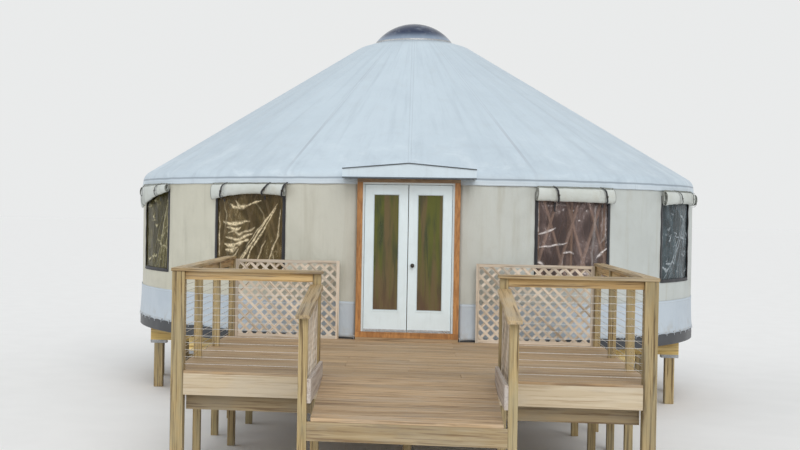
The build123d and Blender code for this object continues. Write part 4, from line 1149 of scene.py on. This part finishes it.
def strap_line(middle, top, foot, tail):
    """A strap's points from the roof's hem, over the roll and round under it, and its buckle's place."""
    low = HEM_HEIGHT - flap_reach(middle, bound(foot, -1.0))

    def at(share, radius, height):
        return polar(middle + FLAP_HALF * (top + (foot - top) * share), WALL_RADIUS + radius, height)

    line = [at(0.0, 0.012, HEM_HEIGHT + 0.02), at(0.02, STRAP_OUT * 0.75, HEM_HEIGHT - 0.012),
            at(0.2, STRAP_OUT, HEM_HEIGHT - 0.05), at(0.5, STRAP_OUT * 1.02, (HEM_HEIGHT + low) / 2),
            at(0.85, STRAP_OUT, low + 0.04), at(1.0, STRAP_OUT * 0.72, low - 0.002),
            at(1.0, 0.03, low - 0.010), at(1.0, 0.014, low - 0.02 - tail / 2),
            at(1.0, 0.016, low - 0.02 - tail)]
    return smooth_line(line, 4), at(0.5, STRAP_OUT * 1.02 + 0.006, (HEM_HEIGHT + low) / 2 - 0.01)


def window_straps():
    """Straps that hold the rolled flaps, each with a small buckle."""
    width = 0.028
    straps = []
    frames = bmesh.new()
    for middle in WINDOWS:
        for top, foot, tail in STRAPS.get(middle, USUAL_STRAPS):
            line, buckle = strap_line(middle, top, foot, tail)
            rows = []
            for place, before, after in zip(line, line[:1] + line, line[1:] + line[-1:]):
                ahead = (after - before).normalized()
                side = Vector((0, 0, 1)).cross(outward(place)).normalized()
                half = (side - ahead * side.dot(ahead)).normalized() * width / 2
                rows.append([place - half, place, place + half])
            straps.append(rows)
            size = Matrix.Diagonal((0.042, 0.026, 0.006, 1.0))
            cube = bmesh.ops.create_cube(frames, size=1.0, matrix=facing(buckle) @ size)
            edges = list({e for v in cube["verts"] for e in v.link_edges})
            bmesh.ops.bevel(frames, geom=edges, offset=0.002, segments=2, affect="EDGES")
    webbing("window_strap_webbing", straps, 0.003, "window_straps")
    declare(bmesh_object("strap_buckles", frames, BRONZE), "hinge_metal")


def smooth_line(points, steps):
    """Catmull-Rom line through the points."""
    line = []
    for k in range(len(points) - 1):
        a, b = points[k], points[k + 1]
        before = points[k - 1] if k else a + (a - b)
        after = points[k + 2] if k + 2 < len(points) else b + (b - a)
        for step in range(steps):
            t = step / steps
            square = (2 * before - 5 * a + 4 * b - after) * t * t
            line.append(0.5 * (2 * a + (b - before) * t + square + (3 * a - before - 3 * b + after) * t ** 3))
    return line + [points[-1]]


# Platform and deck
def box_of(name):
    """Limits of a node of the frame."""
    low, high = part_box(name)
    return Limits(low.x, high.x, low.y, high.y, low.z, high.z)


def lies_across(piece):
    """Whether a piece's longer level side runs along X."""
    return piece.x1 - piece.x0 > piece.y1 - piece.y0


def pieces_of(name):
    """Limits of each separate solid of a node, lowest y first."""
    source = bmesh.new()
    source.from_mesh(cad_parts[name].data)
    bmesh.ops.remove_doubles(source, verts=source.verts, dist=1e-5)
    left, found = set(source.verts), []
    while left:
        seed = left.pop()
        group, stack = [seed], [seed]
        while stack:
            for edge in stack.pop().link_edges:
                for vertex in edge.verts:
                    if vertex in left:
                        left.remove(vertex)
                        group.append(vertex)
                        stack.append(vertex)
        low = Vector([min(v.co[k] for v in group) for k in range(3)])
        high = Vector([max(v.co[k] for v in group) for k in range(3)])
        found.append(Limits(low.x, high.x, low.y, high.y, low.z, high.z))
    source.free()
    return sorted(found, key=lambda piece: (round(piece.y0, 3), piece.x0))


def timbers(node, name, material, slot, edge, seed, axis=None):
    """Each timber of a node as a board; without an axis, its grain runs along its longer level side."""
    boards = Boards(name, material, slot, edge, seed)
    for piece in pieces_of(node):
        boards.box(piece, axis or ("X" if lies_across(piece) else "Y"))
    boards.make(node)


def girders():
    """The platform's girders, each of three plies with a fine joint between them."""
    plies, joint = 3, 0.0008
    boards = Boards("platform_girder_timbers", GIRDER_WOOD, "framing_timber", 0.003, 5)
    for girder in pieces_of("platform_girders"):
        ply = (girder.y1 - girder.y0) / plies
        for k in range(plies):
            start = girder.y0 + ply * k
            boards.box(girder._replace(y0=start + joint / 2, y1=start + ply - joint / 2), "X")
    boards.make("platform_girders")


def rect_minus(rect, hole):
    """A rectangle (x0, x1, y0, y1) less another, as rectangles."""
    x0, x1, y0, y1 = rect
    a0, a1, b0, b1 = hole
    if a0 >= x1 or a1 <= x0 or b0 >= y1 or b1 <= y0:
        return [rect]
    parts = []
    if a0 > x0:
        parts.append((x0, a0, y0, y1))
    if a1 < x1:
        parts.append((a1, x1, y0, y1))
    middle = (max(x0, a0), min(x1, a1))
    if b0 > y0:
        parts.append((*middle, y0, b0))
    if b1 < y1:
        parts.append((*middle, b1, y1))
    return parts


def board_outlines(start, end, a, b, holes):
    """Outlines of a board from start to end and from a to b, cut round the posts and to the platform."""
    parts = [(start, end, a, b)]
    for hole in holes:
        parts = [piece for part in parts for piece in rect_minus(part, hole)]
    return [outline for part in parts for outline in round_ends(part)]


def deck_boards():
    """Deck boards along X with shadow gaps, butt joints over the joists, and round ends at the yurt."""
    deck = box_of("deck_boards")
    gap, butt, reach = 0.005, 0.0012, 0.001
    holes = [(p.x0 - reach, p.x1 + reach, p.y0 - reach, p.y1 + reach) for p in pieces_of("deck_posts")
             if p.z1 > deck.z1 + 0.1 and p.y1 > deck.y0 + 0.02]
    joists = [(p.x0 + p.x1) / 2 for p in pieces_of("deck_joists")]
    boards = Boards("deck_floor_boards", DECK_WOOD, "deck_timber", 0.0035, 11)
    rows = round((deck.y1 - deck.y0) / BOARD_PITCH)
    pitch = (deck.y1 - deck.y0) / rows
    joints = random.Random(5)
    screws = []
    for k in range(rows):
        a = deck.y0 + k * pitch
        b = deck.y1 if k == rows - 1 else deck.y0 + (k + 1) * pitch - gap
        cut = deck.x0 + (deck.x1 - deck.x0) * joints.choice((0.28, 0.36, 0.5, 0.61, 0.72, 1.0))
        lift = joints.uniform(-0.0012, 0.0)
        stretches = [(deck.x0, cut - butt), (cut + butt, deck.x1)] if cut < deck.x1 else [(deck.x0, deck.x1)]
        for start, end in stretches:
            for outline in board_outlines(start, end, a, b, holes):
                foot = [(x, y, deck.z0) for x, y in outline]
                boards.prism(foot, (0, 0, 1), deck.z1 - deck.z0 + lift, (1, 0, 0))
        for x in joists:
            for y in (a + (b - a) * 0.25, a + (b - a) * 0.75):
                in_hole = any(h[0] < x < h[1] and h[2] < y < h[3] for h in holes)
                if hypot(x, y) > RIM_RADIUS + 0.02 and not in_hole:
                    screws.append((x + joints.uniform(-0.006, 0.006), y, deck.z1 + lift))
    boards.make("deck_boards")
    screw_heads("deck_screws", screws)


def round_ends(part):
    """A board's outlines, cut back to the round edge of the platform."""
    x0, x1, y0, y1 = part
    whole = [(x0, y0), (x1, y0), (x1, y1), (x0, y1)]
    if y1 <= -RIM_RADIUS:
        return [whole]
    reach = sqrt(RIM_RADIUS ** 2 - y1 ** 2)
    if y0 > -RIM_RADIUS:
        low = sqrt(RIM_RADIUS ** 2 - y0 ** 2)
        outlines = []
        for side, inner, outer in ((-1, x1, x0), (1, x0, x1)):
            inner_low, inner_high = max(low, side * inner), max(reach, side * inner)
            if side * outer > inner_low + 0.01:
                points = [(side * inner_low, y0), (outer, y0), (outer, y1), (side * inner_high, y1)]
                outlines.append(points if side > 0 else points[::-1])
        return outlines
    first, last = max(x0, -reach), min(x1, reach)
    if first >= last:
        return [whole]
    arc = [last + (first - last) * k / 24 for k in range(25)]
    outline = [(x0, y0), (x1, y0)]
    if x1 > last + 0.002:
        outline.append((x1, y1))
    outline += [(x, min(y1, -sqrt(max(0.0, RIM_RADIUS ** 2 - x * x)))) for x in arc]
    if x0 < first - 0.002:
        outline.append((x0, y1))
    return [outline]


def screw_heads(name, places):
    """Screw heads, a little dished, on boards that lie flat."""
    radius, sides = 0.0045, 6
    vertices, faces = [], []
    for x, y, z in places:
        base = len(vertices)
        for k in range(sides):
            angle = 2 * pi * k / sides
            vertices.append((x + radius * cos(angle), y + radius * sin(angle), z + 0.0006))
        vertices.append((x, y, z + 0.0002))
        faces += [[base + k, base + (k + 1) % sides, base + sides] for k in range(sides)]
    declare(mesh_object(name, vertices, faces, ZINC, smooth=False), "saddle_metal")


def cap_boards():
    """Cap rails with eased edges: mitred at the corners, and sloping along the ramp."""
    width = 0.14
    caps = Boards("cap_rail_boards", CAP_WOOD, "rail_timber", 0.006, 23)
    pieces = pieces_of("cap_rails")
    level = [p for p in pieces if p.z1 - p.z0 < BOARD_THICKNESS + 0.007]
    for x0, x1, y0, y1, z0, z1 in filter(lies_across, level):
        left, right = (width, 0.0) if x0 < -1.5 else (0.0, width)
        outline = [(x0, y0, z0), (x1, y0, z0), (x1 - right, y1, z0), (x0 + left, y1, z0)]
        caps.prism(outline, (0, 0, 1), z1 - z0, (1, 0, 0))
    for x0, x1, y0, y1, z0, z1 in (p for p in level if not lies_across(p)):
        left, right = (0.0, width) if x0 < 0 else (width, 0.0)
        outline = [(x0, y0 + left, z0), (x1, y0 + right, z0), (x1, y1, z0), (x0, y1, z0)]
        caps.prism(outline, (0, 0, 1), z1 - z0, (0, 1, 0))
    for x0, x1, y0, y1, z0, z1 in (p for p in pieces if p not in level):
        middle, half = (x0 + x1) / 2, BOARD_THICKNESS / 2
        start, end = (middle, y0, z0 + half), (middle, y1, z1 - half)
        caps.plank(start, end, (1, 0, 0), x1 - x0, BOARD_THICKNESS)
    caps.make("cap_rails")


def lattice_strips(boards, corner, across, out, width, height, end_height):
    """Two layers of diagonal strips under a level or sloping top, with trim round them."""
    corner, across, out, up = Vector(corner), Vector(across), Vector(out), Vector((0, 0, 1))
    pitch, strip, thick, trim = 0.098, 0.036, 0.007, 0.042
    trim_gap, trim_thick = 0.009, 0.0088
    fence = [(0.0, 0.0), (width, 0.0), (width, end_height), (0.0, height)]

    def place(point, lift):
        return corner + across * point[0] + up * point[1] + out * lift

    half = strip / sqrt(2)
    count = ceil((width + height) / (pitch * sqrt(2))) + 1
    for slant, lift in ((1, -thick), (-1, 0.0)):
        top = slant * height
        for k in range(-count, count + 1):
            start = k * pitch * sqrt(2)
            foot = [(start - half, 0), (start + half, 0)]
            cut = clipped(foot + [(x + top, height) for x, _ in reversed(foot)], fence)
            if len(cut) >= 3:
                boards.prism([place(p, lift) for p in cut], out, thick * 0.96, across * slant + up)
    inner = width - trim
    fall = trim * (height - end_height) / width
    trims = [([(0, 0), (trim, 0), (trim, height - fall), (0, height)], up),
             ([(inner, 0), (width, 0), (width, end_height), (inner, end_height + fall)], up),
             ([(trim, 0), (inner, 0), (inner, trim), (trim, trim)], across),
             ([(trim, height - trim - fall), (inner, end_height - trim + fall),
               (inner, end_height + fall), (trim, height - fall)], across)]
    for outline, along in trims:
        for lift in (-thick - trim_gap, thick * 0.96):
            boards.prism([place(p, lift) for p in outline], out, trim_thick, along)


def lattice_screens():
    """Garden lattice beside the doors and under the ramp's sloping rails."""
    for word, seed in (("left", 31), ("right", 32)):
        boards = Boards(f"screen_strips_{word}", SCREEN_WOOD, "screen_timber", 0.0, seed)
        for piece in pieces_of(f"lattice_screen_{word}"):
            x0, x1, y0, y1, z0, z1 = piece
            height = z1 - z0
            if lies_across(piece):
                corner = (x0, (y0 + y1) / 2, z0)
                lattice_strips(boards, corner, (1, 0, 0), (0, -1, 0), x1 - x0, height, height)
            else:
                corner = ((x0 + x1) / 2, y1, z0)
                low = height - RAMP_CAP_FALL * (y1 - y0)
                lattice_strips(boards, corner, (0, -1, 0), (1, 0, 0), y1 - y0, height, low)
        boards.make(f"lattice_screen_{word}")


def ramp():
    """Ramp boards across the slope, on stringers that follow it."""
    x0, x1, y0, y1, z0, z1 = box_of("ramp_deck")
    half_gap = 0.0025
    slope = (z1 - z0 - BOARD_THICKNESS) / (y1 - y0)
    along = Vector((0, 1, slope)).normalized()
    up = Vector((1, 0, 0)).cross(along)
    boards = Boards("ramp_floor_boards", RAMP_WOOD, "ramp_timber", 0.0035, 41)
    joints = random.Random(8)
    screws = []
    count = round((y1 - y0) / BOARD_PITCH)
    for k in range(count):
        a = y0 + (y1 - y0) * k / count + (half_gap if k else 0.0)
        b = y0 + (y1 - y0) * (k + 1) / count - half_gap
        low, high = z0 + slope * (a - y0), z0 + slope * (b - y0)
        lift = joints.uniform(-0.0012, 0.0)
        outline = [(x0, a, low), (x1, a, low), (x1, b, high), (x0, b, high)]
        boards.prism(outline, up, BOARD_THICKNESS + lift, (1, 0, 0))
        for x in (x0 + 0.06, (x0 + x1) / 2, x1 - 0.06):
            for y in (a + (b - a) * 0.25, a + (b - a) * 0.75):
                screws.append((x, y, z0 + slope * (y - y0) + BOARD_THICKNESS / cos(slope) + lift))
    boards.make("ramp_deck")
    screw_heads("ramp_screws", screws)
    stringers = Boards("ramp_stringer_timbers", BEAM_WOOD, "framing_timber", 0.003, 43)
    for piece in pieces_of("ramp_stringers"):
        if lies_across(piece):
            stringers.box(piece, "X")
        else:
            x0, x1, y0, y1, z0, z1 = piece
            climb = slope * (y1 - y0)
            outline = [(x0, y0, z0), (x0, y1, z0 + climb), (x0, y1, z1), (x0, y0, z1 - climb)]
            stringers.prism(outline, (1, 0, 0), x1 - x0, along)
    stringers.make("ramp_stringers")


# Doors and awning
def bars(name, limits, material, slot, body="root", edge=0.001):
    """Small bars from their limits, with eased edges."""
    sides = ((0, 1, 3, 2), (4, 6, 7, 5), (0, 4, 5, 1), (2, 3, 7, 6), (0, 2, 6, 4), (1, 5, 7, 3))
    vertices, faces = [], []
    for x0, x1, y0, y1, z0, z1 in limits:
        base = len(vertices)
        vertices += [(x, y, z) for x in (x0, x1) for y in (y0, y1) for z in (z0, z1)]
        faces += [[base + i for i in side] for side in sides]
    obj = mesh_object(name, vertices, faces, material, smooth=False)
    ease(obj, edge)
    declare(obj, slot, body=body)


def door_details():
    """Glazing beads, weather strips and hinge leaves, on the door that each belongs to."""
    bead = 0.009
    for word, sign in (("left", -1), ("right", 1)):
        body = f"{word}_door"
        leaf = box_of(f"door_leaf_{word}")
        x0, x1, _, _, z0, z1 = box_of(f"door_glass_{word}")
        depth = (leaf.y0 + 0.006, box_of(f"door_glass_{word}").y0 - 0.0005)
        beads = [(x0, x0 + bead, *depth, z0, z1), (x1 - bead, x1, *depth, z0, z1),
                 (x0 + bead, x1 - bead, *depth, z0, z0 + bead), (x0 + bead, x1 - bead, *depth, z1 - bead, z1)]
        bars(f"glazing_beads_{word}", beads, BEAD_WHITE, "white_paint", body, 0.002)
        sweep = (leaf.x0 + 0.004, leaf.x1 - 0.004, leaf.y0 + 0.0005, leaf.y0 + 0.0048,
                 leaf.z0 + 0.002, leaf.z0 + 0.03)
        bars(f"door_sweep_{word}", [sweep], CURB, "hinge_metal", body)
        plates = []
        for knuckle in pieces_of(f"door_hinges_{word}"):
            middle = (knuckle.x0 + knuckle.x1) / 2
            reach = sorted((middle - sign * 0.001, middle - sign * 0.045))
            plates.append((*reach, knuckle.y0 - 0.0005, knuckle.y0 + 0.002,
                           knuckle.z0 + 0.004, knuckle.z1 - 0.004))
        bars(f"hinge_plates_{word}", plates, BRONZE, "hinge_metal", body, 0.0006)


def doorway_details():
    """Threshold plate, the riser under the sill and the shaded strip of the header."""
    jamb, frame_box = box_of("door_jamb"), box_of("door_frame")
    step = (jamb.x0 + 0.03, jamb.x1 - 0.03, jamb.y0 + 0.002, jamb.y1 - 0.002,
            jamb.z0 - 0.0003, jamb.z0 + 0.003)
    bars("threshold_plate", [step], CURB, "curb_metal")
    riser = Boards("sill_riser", DECK_WOOD, "deck_timber", 0.002, 44)
    riser.box((frame_box.x0 + 0.002, frame_box.x1 - 0.002, frame_box.y0 + 0.006, -RIM_RADIUS - 0.003,
               DECK_TOP + 0.0005, frame_box.z0 - 0.0005), "X")
    riser.make()
    # Painted shade: a thin darker strip along the header.
    header = (frame_box.x0 + 0.001, frame_box.x1 - 0.001, frame_box.y0 + 0.037, frame_box.y0 + 0.0395,
              frame_box.z1 - 0.05, frame_box.z1 - 0.001)
    bars("header_shade", [header], CEDAR_DARK, "cedar")


def awning_details():
    """Thin dark strips of painted shadow along the awning's gable and foot."""
    x0, x1, y0, _, z0, z1 = box_of("door_awning")
    off = 0.004
    front, foot, eave = y0 - off, z0 + 0.008, AWNING_EAVE + 0.002
    ridge = (0, front, z1 + 0.002)
    # Thin dark strips of painted shadow along the gable and the foot.
    edge = Boards("awning_shadow_strips", AWNING_SHADOW_DARK, "black_binding", 0.001, 51)
    edge.plank((x0 - off, front, eave), ridge, (0, 0, 1), 0.014, 0.014)
    edge.plank(ridge, (x1 + off, front, eave), (0, 0, 1), 0.014, 0.014)
    edge.plank((x0, front, foot), (x1, front, foot), (0, 0, 1), 0.02, 0.010)
    edge.make()


# Stage, light and camera
def camera():
    """The photograph's camera; its picture is an off-centre crop, so the lens is shifted."""
    level = cos(CAMERA_PITCH)
    ahead = Vector((-sin(CAMERA_YAW) * level, cos(CAMERA_YAW) * level, sin(CAMERA_PITCH)))
    right = Vector((cos(CAMERA_YAW), sin(CAMERA_YAW), 0.0))
    up = right.cross(ahead)
    across = right * cos(CAMERA_ROLL) + up * sin(CAMERA_ROLL)
    above = -right * sin(CAMERA_ROLL) + up * cos(CAMERA_ROLL)
    data = bpy.data.cameras.new("camera")
    data.sensor_width = 36.0
    data.lens = PHOTO_FOCAL / PHOTO_WIDTH * data.sensor_width
    data.shift_x = (PHOTO_WIDTH / 2 - PHOTO_CENTRE) / PHOTO_WIDTH
    data.clip_end = 500.0
    obj = link(bpy.data.objects.new("camera", data))
    turn = Matrix((across, above, -ahead)).transposed().to_4x4()
    obj.matrix_world = Matrix.Translation(Vector(CAMERA_PLACE)) @ turn
    bpy.context.scene.camera = obj


def stage():
    """Pale floor under the part."""
    s = Shader("studio_floor", roughness=0.9)
    speck = s.noise(s.place, 1.5, 3.0, 0.5)
    material = s.finish(s.mix(s.remap(speck, 0.3, 0.7), (0.91, 0.90, 0.89), (0.93, 0.92, 0.91)))
    size, drop = 400.0, -0.002
    corners = [(-size, -size, drop), (size, -size, drop), (size, size, drop), (-size, size, drop)]
    mesh_object("studio_floor", corners, [[0, 1, 2, 3]], material, smooth=False)


def studio_world():
    """A pale backdrop that the camera and mirrors see, and a dimmer glow that lights the part."""
    world = bpy.data.worlds.new("studio")
    bpy.context.scene.world = world
    world.use_nodes = True
    sky = Nodes(world.node_tree)
    rays = sky.add("ShaderNodeLightPath").outputs
    seen = sky.math("MAXIMUM", rays["Is Camera Ray"], rays["Is Glossy Ray"])
    seen = sky.math("MAXIMUM", seen, rays["Is Transmission Ray"])
    glow = {"Color": (0.93, 0.97, 1.0, 1.0), "Strength": WORLD_LIGHT}
    backdrop = {"Color": (0.818, 0.828, 0.828, 1.0), "Strength": 1.0}
    lights = [sky.node("ShaderNodeBackground", inputs) for inputs in (glow, backdrop)]
    mixed = sky.node("ShaderNodeMixShader", {"Fac": seen, 1: lights[0], 2: lights[1]})
    sky.join(mixed, sky.add("ShaderNodeOutputWorld").inputs["Surface"])


def sun(name, energy, place, colour, spread_angle):
    """A sun of a soft angle that shines from a place towards the part."""
    data = bpy.data.lights.new(name, "SUN")
    data.energy = energy
    data.color = colour
    data.angle = radians(spread_angle)
    obj = link(bpy.data.objects.new(name, data))
    obj.location = place
    obj.rotation_euler = (Vector(LIGHTS_AIM) - Vector(place)).to_track_quat("-Z", "Y").to_euler()


roof_cover()
wall_cover()
lower_band()
for number, middle in enumerate(WINDOWS):
    window_pane(number, middle)
window_borders()
for number, middle in enumerate(WINDOWS):
    flap_roll(number, middle)
window_straps()

timbers("deck_posts", "deck_post_timbers", POST_WOOD, "post_timber", 0.004, 3, "Z")
timbers("platform_piers", "platform_pier_timbers", POST_WOOD, "post_timber", 0.005, 4, "Z")
girders()
timbers("deck_beams", "deck_beam_timbers", BEAM_WOOD, "framing_timber", 0.003, 6)
deck_boards()
timbers("deck_fascia", "deck_edge_boards", FASCIA_WOOD, "rail_timber", 0.003, 21)
timbers("sub_rails", "rail_boards_on_edge", RAIL_WOOD, "rail_timber", 0.003, 22)
cap_boards()
lattice_screens()
ramp()
timbers("ramp_side_boards", "ramp_side_planks", SIDE_WOOD, "screen_timber", 0.003, 42, "Y")
door_details()
doorway_details()
awning_details()

stage()
studio_world()
sun("sky", 1.5, (3.5, -20.0, 17.0), (1.0, 0.985, 0.96), 50)
sun("fill", 0.3, (-18.0, -6.0, 8.0), (0.96, 0.98, 1.0), 60)
camera()

scene = bpy.context.scene
scene.view_settings.view_transform = "Standard"
